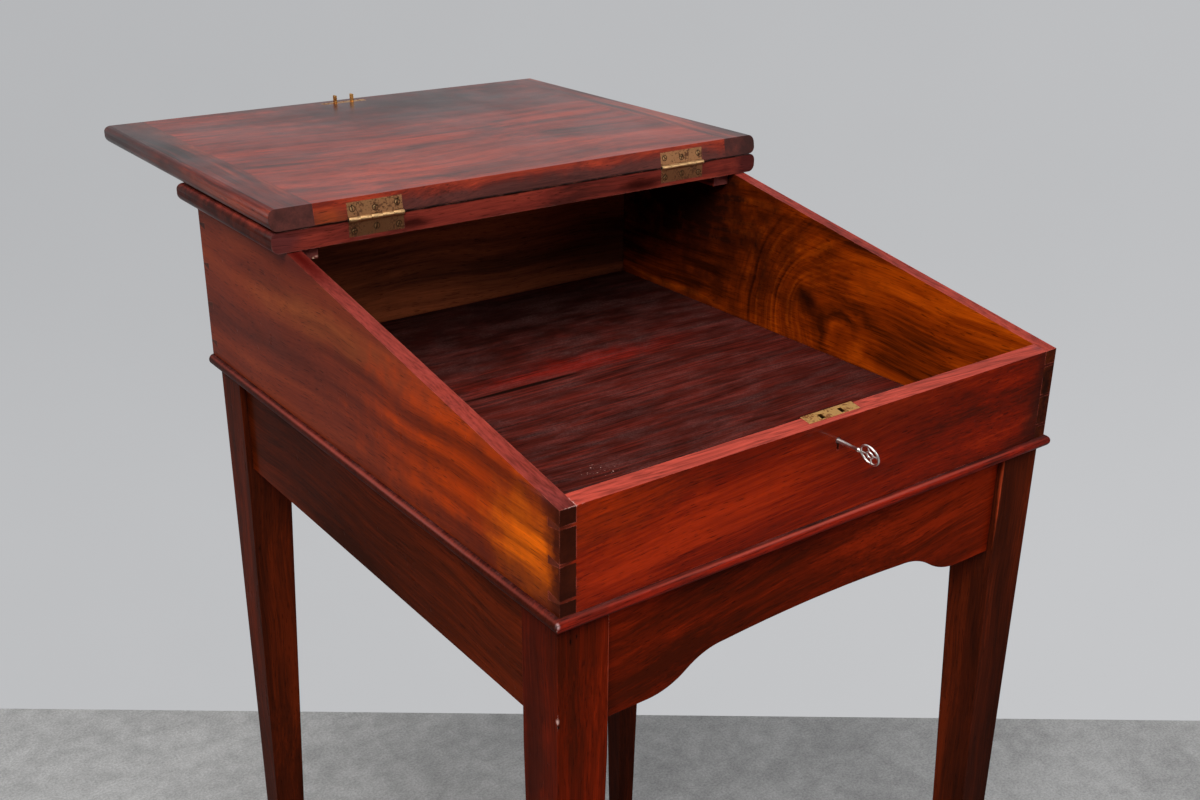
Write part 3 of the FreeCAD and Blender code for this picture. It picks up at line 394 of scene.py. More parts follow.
def polish(f, bent, fibres, pore_mask, roughness):
    """Roughness and normal of polished wood: ripples, then grain, then small dents."""
    cloudy = f.noise(f.place, 9.0, 3.0, 0.6)
    smear = drawn_out(f, bent, 0.1, 70.0, rough=0.6)
    shine = f.math("ADD", f.span(cloudy, 0.3, 0.7, roughness - 0.05, roughness + 0.07),
                   f.math("MULTIPLY", smear, 0.08))
    ripple = f.bump(f.noise(f.place, 24.0, 2.0, 0.5), 0.2, 0.001)
    grained = f.bump(f.math("SUBTRACT", fibres, pore_mask), 0.18, 0.0002, ripple)
    dents = f.span(f.noise(f.place, 130.0, 2.0, 0.5), 0.70, 0.80)
    return shine, f.bump(dents, 0.35, -0.0006, grained)


print("coat roughness:", COAT_ROUGHNESS)

# %% The mahogany finish
RUBBED_REACH = 0.0014
CORNER_REACH = 0.006


def mahogany(name, along, seed, tones, band=24.0, streak=80.0, shares=(0.42, 0.40, 0.18),
             spread=0.10, tilt=0.0, waves=0.05, patches=(), marks_and_painted_light=(), chips=(), specks=(),
             feather=None, top_sheen=None, worn=tone(180, 90, 72), wear=0.5, end=tone(50, 17, 8),
             roughness=0.28, coat=0.08, specular=0.03, ior=1.22, side_shine=1.0, dust=0.0,
             corner_dirt_and_shade=0.75):
    """Polished mahogany with its grain along one axis of the frame.

    tones are the board's dark, middle and light colours. band and streak are how many bands and
    streaks lie across a metre, shares how much bands, streaks and fine lines count, spread how
    far from the middle the dark and light tones are reached, tilt how far the grain leans from
    the board's edge, waves how far it wanders. patches is a list of (centre, reach, colour,
    strength) with ragged edges and the grain showing, gleams the same in one plain colour each,
    for painted highlights, painted shade and small marks; chips on the arrises and specks on the
    flats are lists of (centre, reach). feather is the (centre, reach) of a crotch. top is the
    colour of faces that look up, a paler tone that paints a sheen on them, and side_shine the
    share of the coat that the other faces have. grime is how much painted shade, with some dirt,
    darkens the corners.
    """
    dark, middle, light = tones
    f = Finish(name)
    bent = grain_place(f, along, seed, tilt, waves)
    bands = drawn_out(f, bent, BAND_SQUEEZE, band, distort=0.2)
    streaks = drawn_out(f, bent, STREAK_SQUEEZE, streak)
    lines = drawn_out(f, bent, **LINES)
    fibres = drawn_out(f, bent, **FIBRES)
    pore_mask = f.span(drawn_out(f, bent, **PORES), 0.62, 0.72)
    if feather is not None:
        bands, streaks = fold_round(f, feather, bands, streaks, band, streak)

    figure = 0.0
    for part, share in zip((bands, streaks, lines), shares):
        figure = f.math("ADD", figure, f.math("MULTIPLY", part, share))
    wood = f.ramp(figure, (0.5 - spread, dark), (0.5, middle), (0.5 + spread, light))
    shade = f.ramp(figure, (0.5 - spread, 0.45), (0.5, 1.0), (0.5 + spread, 1.35))
    wood = lay_patches(f, wood, figure, shade, patches)
    wood = f.mix(0.8, wood, f.ramp(fibres, (0.25, 0.76), (0.75, 1.14)), "MULTIPLY")
    wood = f.mix(f.math("MULTIPLY", pore_mask, 0.6), wood, tuple(c * 0.3 for c in dark))

    facing = f.node("ShaderNodeTexCoord").outputs["Normal"]
    looks_up = f.span(f.vector("DOT_PRODUCT", facing, UP), 0.7, 0.9)
    wood = darken_ends(f, wood, facing, along, end, shade)
    # faces that look up get a paler, pinker colour: a painted sheen
    if top_sheen is not None:
        wood = paint_top_sheen(f, wood, looks_up, top_sheen, lines, shade)

    # arrises are rubbed lighter, in places only
    patchy = f.span(f.noise(f.place, 55.0, 4.0, 0.65), 0.42, 0.62)
    on_arris = f.span(f.arris(RUBBED_REACH), 0.03, 0.25)
    rubbed = f.math("MULTIPLY", on_arris, patchy)
    wood = f.mix(f.math("MULTIPLY", rubbed, wear), wood, worn)
    if dust:
        wood = lay_dust(f, wood, bent, facing, dust)
    # plain colours over the wood: painted highlights, painted shade and small marks
    for centre, reach, colour, strength in marks_and_painted_light:
        wood = f.mix(f.math("MULTIPLY", f.blob(centre, reach), strength, clamp=True), wood, colour)
    # painted shade, with some dirt, darkens the corners as far as they hide the sky
    dirt_and_shade = f.span(f.opening(CORNER_REACH), 0.80, 0.35)
    wood = f.mix(f.math("MULTIPLY", dirt_and_shade, corner_dirt_and_shade), wood, DIRT_AND_SHADE)
    wood = lay_flakes(f, wood, on_arris, chips, specks)

    shine, normal = polish(f, bent, fibres, pore_mask, roughness)
    if side_shine < 1.0:
        coat = f.fade(looks_up, coat * side_shine, coat)
    f.surface(Base_Color=wood, Roughness=shine, Normal=normal, Coat_Weight=coat,
              Coat_Roughness=COAT_ROUGHNESS, Coat_IOR=COAT_IOR, Specular_IOR_Level=specular,
              IOR=ior)
    return f.material


print("rubbed within", RUBBED_REACH, "m of an arris, dirty within", CORNER_REACH, "m of a corner")

# %% [markdown]
# ## A finish for every board
#
# The boards came from one tree or two, but each one has its own tone: the left side is orange near
# the front, with a painted glow of light there, the front board is striped, the lid is rosy with
# dark waves, and the stand is the darkest. One call per board keeps them apart. The places of
# patches and chips are measured from the boards' own corners and from the hinge, so they stay put
# if a size changes.

# %% Corners to measure from
side_x, front_y, floor_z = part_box("box_side_left")[0]
inner_right_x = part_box("box_side_right")[0].x
front_top_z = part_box("box_front")[1].z
stand_x, stand_y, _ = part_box("leg_front_left")[0]
stand_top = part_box("leg_front_left")[1].z
lid_low, lid_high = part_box("lid_panel")
lid_left_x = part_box("lid_clamp_left")[0].x
board_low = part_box("fixed_board")[0]
block_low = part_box("fixed_board_blocks")[0]
joint_places = {joint["name"]: joint["pos_m"] for joint in frame["joints"] if "pos_m" in joint}
hinge_place = tuple(joint_places["lid_hinge"])
print("box corner:", round(side_x, 4), round(front_y, 4), round(floor_z, 4), "hinge:", hinge_place)

# %% [markdown]
# ## The stand
#
# The front of the stand catches the light and is redder, its sides and back are browner. The left
# front leg has the marks that a leg gets: chips at its corners with dirt beside them, and an inner
# arris rubbed pale; its left side face is darkened by painted shade. The blocks under the box are
# plain pine, which shows little figure or shine.

# %% Finishes of the stand
STAND_TONES = (tone(62, 17, 5), tone(92, 22, 5), tone(130, 33, 8))
STAND_SHADE = (tone(44, 15, 6), tone(66, 22, 8), tone(94, 31, 10))
SIDE_SHADE = (tone(48, 15, 3), tone(72, 23, 5), tone(100, 32, 7))
PINE_TONES = (tone(120, 84, 52), tone(158, 118, 78), tone(186, 148, 104))
STAND = dict(band=22.0, streak=110.0, shares=(0.52, 0.20, 0.28), spread=0.11, wear=0.35,
             worn=tone(150, 62, 45), coat=0.03, specular=0.02)
LEG_WIDTH = 0.052
leg_chips = [((stand_x + 0.001, stand_y, stand_top - 0.0897), (0.006, 0.006, 0.010)),
             ((stand_x + LEG_WIDTH, stand_y, stand_top - 0.006), (0.005, 0.006, 0.012))]
leg_marks_and_side_shade = [
    # painted shade on the leg's left side face
    ((stand_x, stand_y + 0.034, stand_top - 0.14), (0.006, 0.036, 0.30), tone(58, 18, 8), 0.9),
    ((stand_x + LEG_WIDTH, stand_y, stand_top - 0.045), (0.0016, 0.004, 0.085),
     tone(186, 80, 56), 1.0),
    ((stand_x + 0.0005, stand_y + 0.0005, stand_top - 0.0897), (0.0025, 0.0025, 0.0038),
     CHIP, 1.1),
    ((stand_x + 0.001, stand_y, stand_top - 0.095), (0.002, 0.002, 0.003), DIRT_AND_SHADE, 1.4),
    ((stand_x + 0.0515, stand_y, stand_top - 0.0025), (0.0035, 0.003, 0.0035), CHIP, 1.2),
    ((stand_x + 0.013, stand_y, stand_top - 0.016), (0.0016, 0.003, 0.005), DIRT_AND_SHADE, 1.4),
    ((stand_x + 0.019, stand_y, stand_top - 0.013), (0.0014, 0.003, 0.004), DIRT_AND_SHADE, 1.2)]
right_arris = ((-stand_x - LEG_WIDTH, stand_y, stand_top - 0.045), (0.0018, 0.004, 0.085),
               tone(170, 64, 34), 0.9)

finishes = {
    "leg_front_left": mahogany("stand_leg_front_left", "z", 1.0, STAND_TONES,
                               chips=leg_chips, patches=leg_marks_and_side_shade, **STAND),
    "leg_front_right": mahogany("stand_leg_front_right", "z", 2.0, STAND_SHADE,
                                patches=[right_arris], **STAND),
}
for node_name, along, seed, tones, tilt in (
        ("leg_back_left", "z", 3.0, STAND_SHADE, 0.0),
        ("leg_back_right", "z", 4.0, STAND_SHADE, 0.0),
        ("front_apron", "x", 5.0, STAND_TONES, 0.09),
        ("back_apron", "x", 6.0, STAND_SHADE, 0.0),
        ("left_apron", "y", 7.0, SIDE_SHADE, 0.0),
        ("right_apron", "y", 8.0, STAND_SHADE, 0.0)):
    finishes[node_name] = mahogany("stand_" + node_name, along, seed, tones, tilt=tilt, **STAND)
finishes["stand_blocks"] = mahogany("pine_blocks", "x", 19.0, PINE_TONES, roughness=0.6,
                                    coat=0.0, wear=0.1, end=tone(140, 100, 62))
print("finishes of the stand:", len(finishes))

# %% [markdown]
# ## The box
#
# The left side shades from brown to orange near the front, where a glow of light is painted on
# it, the right side has a crotch, the bottom is dark and dusty with a redder bead round it, and the
# fixed board has dirt beside the hinges. The sides and the bottom are painted darker at the back,
# as painted shade under the fixed board, the bead has painted highlights along it, and faces that
# look up have a painted sheen.

# %% Finishes of the sides
# the paler, pinker colour of faces that look up: a painted sheen
BOX_TOP_SHEEN = tone(128, 48, 42)
# an orange tone with a painted glow of light in it
PAINTED_GLOW = tone(176, 58, 2)
THROUGH = 0.1  # a reach that goes right through a side
side_middle_x = side_x + 0.008
corner_chip = ((side_x + 0.014, front_y + 0.003, front_top_z - 0.001), (0.016, 0.010, 0.005))
left_patches = [
    ((side_x, front_y + 0.42, floor_z + 0.125), (THROUGH, 0.22, 0.035), tone(124, 62, 28), 0.6),
    ((side_x, front_y + 0.50, floor_z + 0.075), (THROUGH, 0.16, 0.05), tone(86, 36, 26), 0.5),
    # a painted glow of light near the front, brightest low down at the front edge
    ((side_x, front_y + 0.13, floor_z + 0.07), (THROUGH, 0.26, 0.10), PAINTED_GLOW, 1.0),
    ((side_x, front_y + 0.046, floor_z + 0.045), (THROUGH, 0.08, 0.065), tone(232, 104, 2), 1.2),
    ((side_x, front_y - 0.006, floor_z + 0.06), (THROUGH, 0.032, 0.3), tone(86, 28, 5), 1.6),
    ((side_middle_x, front_y + 0.010, front_top_z), (0.012, 0.10, 0.006), tone(132, 72, 72), 0.9)]
# painted shade on the upper back end of the left side, under the fixed board
shade_under_board = ((side_middle_x, 0.0, board_low.z - 0.003), (0.02, 0.14, 0.05), tone(66, 11, 8), 1.0)
crotch_x, crotch_y = inner_right_x, front_y + 0.34
right_patches = [
    ((crotch_x, crotch_y, floor_z + 0.057), (THROUGH, 0.030, 0.022), tone(38, 13, 4), 1.0),
    # painted shade at the back, under the fixed board
    ((crotch_x, front_y + 0.55, floor_z + 0.12), (THROUGH, 0.36, 0.22), tone(36, 12, 5), 1.0)]

finishes["box_side_left"] = mahogany(
    "box_side_left", "y", 9.0, (tone(84, 30, 18), tone(112, 42, 22), tone(132, 54, 26)),
    band=14.0, streak=60.0, shares=(0.55, 0.32, 0.13), spread=0.12, chips=[corner_chip],
    top_sheen=tone(116, 44, 39), patches=left_patches, marks_and_painted_light=[shade_under_board])
finishes["box_side_right"] = mahogany(
    "box_side_right", "y", 10.0, (tone(62, 20, 3), tone(130, 45, 3), tone(178, 72, 6)),
    band=18.0, streak=90.0, worn=tone(200, 100, 88), top_sheen=BOX_TOP_SHEEN, end=tone(34, 14, 8),
    feather=((crotch_x, crotch_y, floor_z + 0.050), (THROUGH, 0.20, 0.17)),
    patches=right_patches)
print("crotch at:", round(crotch_x, 4), round(crotch_y, 4))

# %% Finishes of the front and the back
BOX_TONES = (tone(66, 15, 4), tone(110, 20, 2), tone(152, 38, 6))
BACK_TONES = (tone(50, 28, 20), tone(94, 49, 31), tone(146, 75, 44))
front_patches = [
    ((0.05, front_y, floor_z + 0.085), (0.22, 0.01, 0.05), tone(74, 17, 3), 0.6),
    ((-0.26, front_y, floor_z + 0.08), (0.12, 0.01, 0.05), tone(176, 52, 4), 0.5),
    ((side_x + 0.004, front_y, floor_z + 0.05), (0.016, 0.01, 0.3), tone(84, 26, 12), 1.4),
    ((-side_x - 0.006, front_y, floor_z + 0.05), (0.045, 0.01, 0.3), tone(58, 18, 8), 1.2)]
front_gleam = ((-side_x - 0.017, front_y + 0.008, front_top_z), (0.016, 0.009, 0.004),
               tone(84, 46, 50), 0.7)

# the front board's upper edge gets a painted sheen as well
finishes["box_front"] = mahogany(
    "box_front", "x", 11.0, BOX_TONES, band=22.0, streak=110.0, shares=(0.54, 0.18, 0.28),
    spread=0.12, tilt=0.05, waves=0.03, coat=0.20, specular=0.02, chips=[corner_chip],
    worn=tone(200, 84, 70), top_sheen=tone(150, 58, 46), end=tone(80, 31, 14),
    patches=front_patches, marks_and_painted_light=[front_gleam])
finishes["box_back"] = mahogany("box_back", "x", 12.0, BACK_TONES, band=12.0, streak=60.0,
                                shares=(0.60, 0.26, 0.14))
print("patches of the front board:", len(front_patches))

# %% Finish of the bottom board
BOTTOM_TONES = (tone(36, 12, 9), tone(64, 21, 16), tone(92, 30, 23))
bead_side_y = front_y + 0.3629
bottom_patches = [
    ((0.03, front_y + 0.445, floor_z), (0.20, 0.036, 0.02), tone(128, 20, 11), 0.5),
    # painted shade at the back, under the fixed board
    ((0.10, front_y + 0.62, floor_z), (0.5, 0.22, 0.02), tone(30, 11, 8), 0.9),
    ((0.0, front_y - 0.006, floor_z - 0.008), (0.60, 0.007, 0.014), tone(122, 27, 14), 1.2),
    ((side_x - 0.006, bead_side_y, floor_z - 0.008), (0.007, 0.60, 0.014), tone(116, 34, 20), 1.0),
    ((side_x - 0.0045, front_y - 0.0035, floor_z - 0.004), (0.003, 0.003, 0.004),
     tone(176, 158, 160), 0.9)]
bottom_marks_and_highlights = [
    ((-0.06, front_y + 0.4178, floor_z), (0.13, 0.0055, 0.01), DIRT_AND_SHADE, 1.8),
    # painted highlights along the upper side of the front bead and the left bead
    ((0.0, front_y - 0.0038, floor_z - 0.0018), (0.40, 0.0022, 0.0022), tone(178, 74, 58), 0.6),
    ((side_x - 0.0045, bead_side_y, floor_z - 0.0018), (0.0030, 0.6, 0.0030),
     tone(152, 72, 62), 0.6)]

finishes["bottom_board"] = mahogany(
    "box_bottom", "x", 13.0, BOTTOM_TONES, band=30.0, streak=150.0, shares=(0.22, 0.26, 0.52),
    spread=0.12, waves=0.03, wear=0.2, roughness=0.45, dust=0.12,
    chips=[((side_x - 0.004, front_y - 0.003, floor_z - 0.004), (0.005, 0.005, 0.006))],
    specks=[((-0.12, front_y + 0.1979, floor_z), (0.03, 0.02, 0.004))],
    patches=bottom_patches, marks_and_painted_light=bottom_marks_and_highlights)
print("patches and lines of the bottom board:", len(bottom_patches), len(bottom_marks_and_highlights))

# %% Finishes of the fixed board and its blocks
BOARD_TONES = (tone(66, 28, 24), tone(112, 42, 34), tone(140, 56, 42))
# light tones that paint light on to the blocks, whose ends lie in the shadow of the fixed board
LIT_BLOCK_TONES = (tone(96, 34, 24), tone(150, 58, 42), tone(196, 96, 74))
board_end_x = board_low.x + 0.0025
board_patches = [
    ((board_end_x, board_low.y, board_low.z + 0.011), (0.045, 0.02, 0.04), tone(84, 38, 36), 1.3),
    ((-board_end_x, board_low.y, board_low.z + 0.011), (0.055, 0.02, 0.04), tone(70, 28, 26), 1.3),
    ((0.14, board_low.y, board_low.z + 0.008), (0.05, 0.01, 0.012), tone(56, 18, 14), 1.2),
    ((-0.16, board_low.y, board_low.z + 0.008), (0.035, 0.01, 0.009), tone(60, 20, 16), 1.2),
    # painted shade of the gap under the lid, as a dark line
    ((0.0, board_low.y, hinge_place[2]), (1.0, 0.005, 0.0024), DIRT_AND_SHADE, 1.5)]
block_gleams = [
    ((block_low.x + 0.0172, block_low.y, block_low.z + 0.0006), (0.0016, 0.002, 0.0028),
     tone(206, 170, 140), 1.4),
    ((block_low.x + 0.0208, block_low.y, block_low.z + 0.0026), (0.0030, 0.002, 0.0016),
     tone(200, 150, 132), 1.2)]

finishes["fixed_board"] = mahogany("box_fixed_board", "x", 14.0, BOARD_TONES, band=34.0,
                                   worn=tone(140, 100, 92), patches=board_patches)
# a light end tone and little corner shade paint light on to the blocks' shaded ends
finishes["fixed_board_blocks"] = mahogany("box_blocks", "y", 15.0, LIT_BLOCK_TONES, wear=0.2,
                                          corner_dirt_and_shade=0.2, end=tone(112, 60, 58), marks_and_painted_light=block_gleams)
print("finishes so far:", len(finishes))

# %% [markdown]
# ## The lid
#
# The lid lies open with its inner face up, glossy there and dull on its edges. The clamps across
# its ends are dark on their arrises. A dark line along the lid's hinge edge, and one along the
# fixed board's front edge, paint the shade in the gap between them.

# %% Finishes of the lid
LID_TONES = (tone(58, 19, 12), tone(112, 32, 17), tone(150, 50, 26))
CLAMP_TONES = (tone(44, 14, 10), tone(92, 26, 15), tone(150, 56, 28))
LID = dict(coat=0.28, specular=0.14, roughness=0.3, ior=1.5, side_shine=0.15)
CLAMP = dict(band=18.0, worn=DIRT_AND_SHADE, wear=0.7)
lid_y, lid_z, lid_top_z = lid_low.y, lid_low.z, lid_high.z
clamp_middle_x = lid_left_x + 0.028
# painted shade of the gap between the lid and the fixed board, as a dark line
gap_shade = ((0.0, lid_y, lid_z - 0.0004), (1.0, 0.005, 0.0024), DIRT_AND_SHADE, 1.5)
hinge_edge = ((0.05, lid_y, lid_z + 0.008), (0.7, 0.004, 0.05), tone(76, 36, 31), 1.7)
hinge_rust = ((-0.257, lid_y, lid_z + 0.012), (0.034, 0.004, 0.03), tone(128, 52, 20), 1.2)
edge_chips = [((clamp_middle_x, lid_y, lid_top_z), (0.020, 0.004, 0.004)),
              ((lid_left_x + 0.1091, lid_y, lid_top_z), (0.014, 0.004, 0.004)),
              ((0.02, lid_y, lid_top_z), (0.16, 0.003, 0.003))]
lid_patches = [
    ((0.08, lid_y + 0.42, lid_top_z), (0.40, 0.20, 0.02), tone(34, 15, 14), 0.9),
    ((-0.08, lid_y + 0.09, lid_top_z), (0.36, 0.15, 0.02), tone(136, 50, 31), 0.5),
    hinge_edge, hinge_rust, gap_shade]
clamp_patches = [
    ((clamp_middle_x, lid_y + 0.42, lid_top_z), (0.06, 0.30, 0.02), tone(38, 18, 17), 0.75),
    ((lid_left_x, lid_y + 0.17, lid_z + 0.010), (0.010, 0.28, 0.012), tone(138, 52, 22), 0.9),
    gap_shade]

finishes["lid_panel"] = mahogany(
    "lid_panel", "x", 16.0, LID_TONES, band=22.0, streak=70.0, shares=(0.30, 0.38, 0.32),
    spread=0.11, tilt=0.03, waves=0.11, chips=edge_chips, patches=lid_patches, **LID)
finishes["lid_clamp_left"] = mahogany(
    "lid_clamp_left", "y", 21.0, CLAMP_TONES, chips=edge_chips, end=tone(72, 40, 36),
    patches=clamp_patches, **CLAMP, **LID)
finishes["lid_clamp_right"] = mahogany(
    "lid_clamp_right", "y", 18.0, CLAMP_TONES, end=tone(64, 32, 28), patches=[gap_shade],
    **CLAMP, **LID)
for node_name, finish in finishes.items():
    nodes[node_name].data.materials.clear()
    nodes[node_name].data.materials.append(finish)
print("board finishes:", len(finishes))

# %% [markdown]
# ## Brass and steel
#
# Old brass is bright only where it is rubbed. A noise chooses between rubbed yellow metal and
# brown tarnish. The arrises are rubbed too, except on the hinges, where a dark line on them paints
# the shade in the gaps round the leaves. All the metal is darkened in its corners by painted shade
# with some dirt. A hinge's knuckle is rubbed bright by use, and its screws have painted shade in
# their slots and round their rims, and a painted highlight on their upper left side. Steel screws
# and the key are the same idea in grey.

# %% Marks on metal
SCREW_GAP = 0.002
# gold of a knuckle rubbed by use, and of the painted highlights on screw heads
RUBBED_AND_HIGHLIGHT_GOLD = tone(218, 180, 128)
# dark colour of dirt on metal, and of painted shade in its corners and gaps
METAL_DIRT_AND_SHADE = tone(30, 17, 9)


def head_centres(node_name):
    """Middles of a node's screws: its points sorted by x, and cut where a gap is wide."""
    mesh = nodes[node_name].data
    points = np.empty(len(mesh.vertices) * 3)
    mesh.vertices.foreach_get("co", points)
    points = points.reshape(-1, 3)
    points = points[np.argsort(points[:, 0])]
    cuts = np.flatnonzero(np.diff(points[:, 0]) > SCREW_GAP) + 1
    return [tuple((part.min(axis=0) + part.max(axis=0)) / 2) for part in np.split(points, cuts)]


def paint_head_shade_and_highlight(f, heads, rubbed_and_highlight, dirt_and_shade):
    """Adds painted shade in the slots and round the rims, and a painted highlight on the upper left
    side, on screws in planes across Y.
    """
    for number, head in enumerate(heads):
        offset = f.vector("MULTIPLY", f.vector("SUBTRACT", f.place, head), (1.0, 0.0, 1.0))
        away = f.vector("LENGTH", offset)
        lean = 0.3 * math.sin(2.4 * number)
        beside = f.math("ABSOLUTE", f.vector("DOT_PRODUCT", offset,
                                             (math.cos(lean), 0.0, math.sin(lean))))
        # painted shade in the slot and in the ring round the head
        slot = f.math("MULTIPLY", f.span(beside, 0.0007, 0.0004), f.span(away, 0.0028, 0.0024))
        rim = f.math("MULTIPLY", f.span(away, 0.0023, 0.0029), f.span(away, 0.0038, 0.0033))
        # a painted highlight on the head's upper left side, towards the main lamp
        lit = f.math("MULTIPLY", f.span(away, 0.0027, 0.0021),
                     f.span(f.vector("DOT_PRODUCT", offset, (-0.7, 0.0, 0.7)), -0.001, 0.002))
        rubbed_and_highlight = f.math("MAXIMUM", rubbed_and_highlight, lit)
        dirt_and_shade = f.math("MAXIMUM", dirt_and_shade, f.math("MULTIPLY", f.math("MAXIMUM", slot, rim), 0.85))
    return rubbed_and_highlight, dirt_and_shade


hinge_heads = head_centres("hinge_fixed_leaf_screws") + head_centres("hinge_lid_leaf_screws")
print("hinge screws:", len(hinge_heads), [round(v, 4) for v in hinge_heads[0]])

# %% Metal finishes
METAL_RUBBED_REACH = 0.0005
KNUCKLE_RADIUS = 0.0030


def old_metal(name, bright, tarnish, cover, roughness, scale=700.0, corner_dirt_and_shade=0.9, reach=0.0012,
              outline_shade=0.0, heads=(), barrel=None):
    """Rubbed metal under patches of tarnish; cover is the share that is tarnished.

    reach is how far painted shade, with some dirt, spreads from a corner, outline how much
    dark line sits on the arrises in place of the rubbed edge, as painted shade of the gaps round
    a piece, heads the middles of screws, and barrel one (axis place, radius) of a knuckle along
    X that is rubbed bright by use.
    """
    f = Finish(name)
    cloud = f.math("ADD", f.math("MULTIPLY", f.noise(f.place, scale, 4.0, 0.6), 0.5),
                   f.math("MULTIPLY", f.noise(f.place, scale * 0.17, 4.0, 0.6), 0.5))
    on_arris = f.span(f.arris(METAL_RUBBED_REACH), 0.03, 0.3)
    dull = f.math("SUBTRACT", f.span(cloud, 0.66 - 0.35 * cover, 0.76 - 0.35 * cover),
                  f.math("MULTIPLY", on_arris, 1.0 - outline_shade), clamp=True)
    # painted shade, with some dirt, in corners, and a dark arris line as painted shade of gaps
    dirt_and_shade = f.math("MULTIPLY", f.span(f.opening(reach), 0.75, 0.35), corner_dirt_and_shade)
    dirt_and_shade = f.math("MAXIMUM", dirt_and_shade, f.math("MULTIPLY", on_arris, outline_shade))
    rubbed_and_highlight = 0.0
    if barrel is not None:
        centre, radius = barrel
        away = f.vector("LENGTH", f.vector("MULTIPLY", f.vector("SUBTRACT", f.place, centre),
                                           ACROSS_X))
        rubbed_and_highlight = f.span(away, radius + 0.0003, radius - 0.0001)
        dirt_and_shade = f.math("MULTIPLY", dirt_and_shade, f.math("SUBTRACT", 1.0, rubbed_and_highlight))
    rubbed_and_highlight, dirt_and_shade = paint_head_shade_and_highlight(f, heads, rubbed_and_highlight, dirt_and_shade)
    colour = f.mix(dull, bright, tarnish)
    # the rubbed knuckle and the painted highlights on the screw heads
    if heads or barrel is not None:
        colour = f.mix(f.math("MULTIPLY", rubbed_and_highlight, 0.7), colour, RUBBED_AND_HIGHLIGHT_GOLD)
    colour = f.mix(dirt_and_shade, colour, METAL_DIRT_AND_SHADE)
    shine = f.math("ADD", roughness, f.math("MULTIPLY", f.math("ADD", dull, dirt_and_shade), 0.2))
    scratches = f.noise(f.stretch(f.place, (1.0, 0.15, 1.0)), 1500.0, 2.0, 0.6)
    f.surface(Base_Color=colour, Roughness=shine, Metallic=1.0,
              Normal=f.bump(scratches, 0.12, 0.0001))
    return f.material


# the hinges' dark arris line paints the shade in the gaps round their leaves
hinge_brass = old_metal("hinge_brass", tone(166, 118, 80), tone(104, 68, 48), 0.5, 0.40,
                        scale=400.0, outline_shade=0.85, heads=hinge_heads,
                        barrel=(hinge_place, KNUCKLE_RADIUS))
lock_brass = old_metal("lock_brass", tone(224, 168, 94), tone(146, 90, 42), 0.52, 0.30,
                       scale=420.0, reach=0.0006)
screw_steel = old_metal("screw_steel", tone(140, 132, 120), tone(92, 80, 66), 0.5, 0.38)
key_steel = old_metal("key_steel", tone(226, 223, 218), tone(150, 138, 126), 0.15, 0.32)

metal_names = [node_name for node_name in nodes if node_name not in finishes]
for node_name in metal_names:
    if node_name.startswith(("hinge_fixed", "hinge_lid")):
        metal = hinge_brass
    elif node_name.startswith(("lock_plate", "link", "lock_case", "lock_bolt", "lock_screws")):
        metal = lock_brass
    elif node_name == "key":
        metal = key_steel
    else:
        metal = screw_steel
    nodes[node_name].data.materials.clear()
    nodes[node_name].data.materials.append(metal)
print("metal pieces:", len(metal_names))

# %% [markdown]
# ## The key
#
# A small key like this is turned and filed from steel: a slim shank with a collar, a flat bit that
# works the bolt, and a pierced bow. The solid in the frame is right in size, but its edges are
# square, and a key that has been in a pocket for a century is rounded all over. So it is built
# anew from surfaces: every bar and ring is a section carried along a line, and the section is a
# superellipse, which lies between an ellipse and a rectangle. The shank is a turned profile.
# Everything is computed as whole arrays, upright first, and then turned about the shank.

# %% Sections carried along a line
AROUND = 24
RING_COUNT = 72
BAR_COUNT = 13
SQUARENESS = 2.8


def superellipse(half_width, half_height, power, count=AROUND):
    """Points (a, b) with |a/w|^p + |b/h|^p = 1, one turn of them; power 2 gives an ellipse."""
    t = np.linspace(0.0, 2.0 * np.pi, count, endpoint=False)
    a = half_width * np.sign(np.cos(t)) * np.abs(np.cos(t)) ** (2.0 / power)
    b = half_height * np.sign(np.sin(t)) * np.abs(np.sin(t)) ** (2.0 / power)
    return np.stack([a, b], axis=1)


def turned_rod(stations, radii, count=AROUND):
    """A lathe surface about Y: point (r cos t, y, r sin t) for each station y of radius r."""
    t = np.linspace(0.0, 2.0 * np.pi, count, endpoint=False)
    r = np.asarray(radii)[:, None]
    y = np.asarray(stations)[:, None]
    return np.stack([r * np.cos(t), y + 0.0 * t, r * np.sin(t)], axis=2), False


def flat_ring(centre_y, radius, half_width, half_thick, count=RING_COUNT):
    """A section carried round a circle in the YZ plane: (b, c + (R + a) cos u, (R + a) sin u)."""
    u = np.linspace(0.0, 2.0 * np.pi, count, endpoint=False)[:, None]
    a, b = superellipse(half_width, half_thick, SQUARENESS).T
    out = radius + a
    return np.stack([b + 0.0 * u, centre_y + out * np.cos(u), out * np.sin(u)], axis=2), True


def flat_bar(centre_y, start, end, angle, half_width, half_thick, count=BAR_COUNT):
    """A straight bar in the YZ plane from radius start to end at that angle, waisted midway.

    Width at s in 0..1 is w (1 - 0.25 sin(pi s)); the ends are drawn in to a point.
    """
    s = np.linspace(0.0, 1.0, count)
    a, b = superellipse(1.0, 1.0, SQUARENESS).T
    full = np.where((s == 0.0) | (s == 1.0), 0.0, 1.0) * (1.0 - 0.25 * np.sin(np.pi * s))
    along = (start + (end - start) * s)[:, None]
    side = half_width * full[:, None] * a
    y = centre_y + along * math.cos(angle) - side * math.sin(angle)
    z = along * math.sin(angle) + side * math.cos(angle)
    return np.stack([half_thick * full[:, None] * b, y, z], axis=2), False


print("a ring has", AROUND * RING_COUNT, "points, a bar", AROUND * BAR_COUNT)

# %% From arrays to a mesh
MERGE_DISTANCE = 1e-7


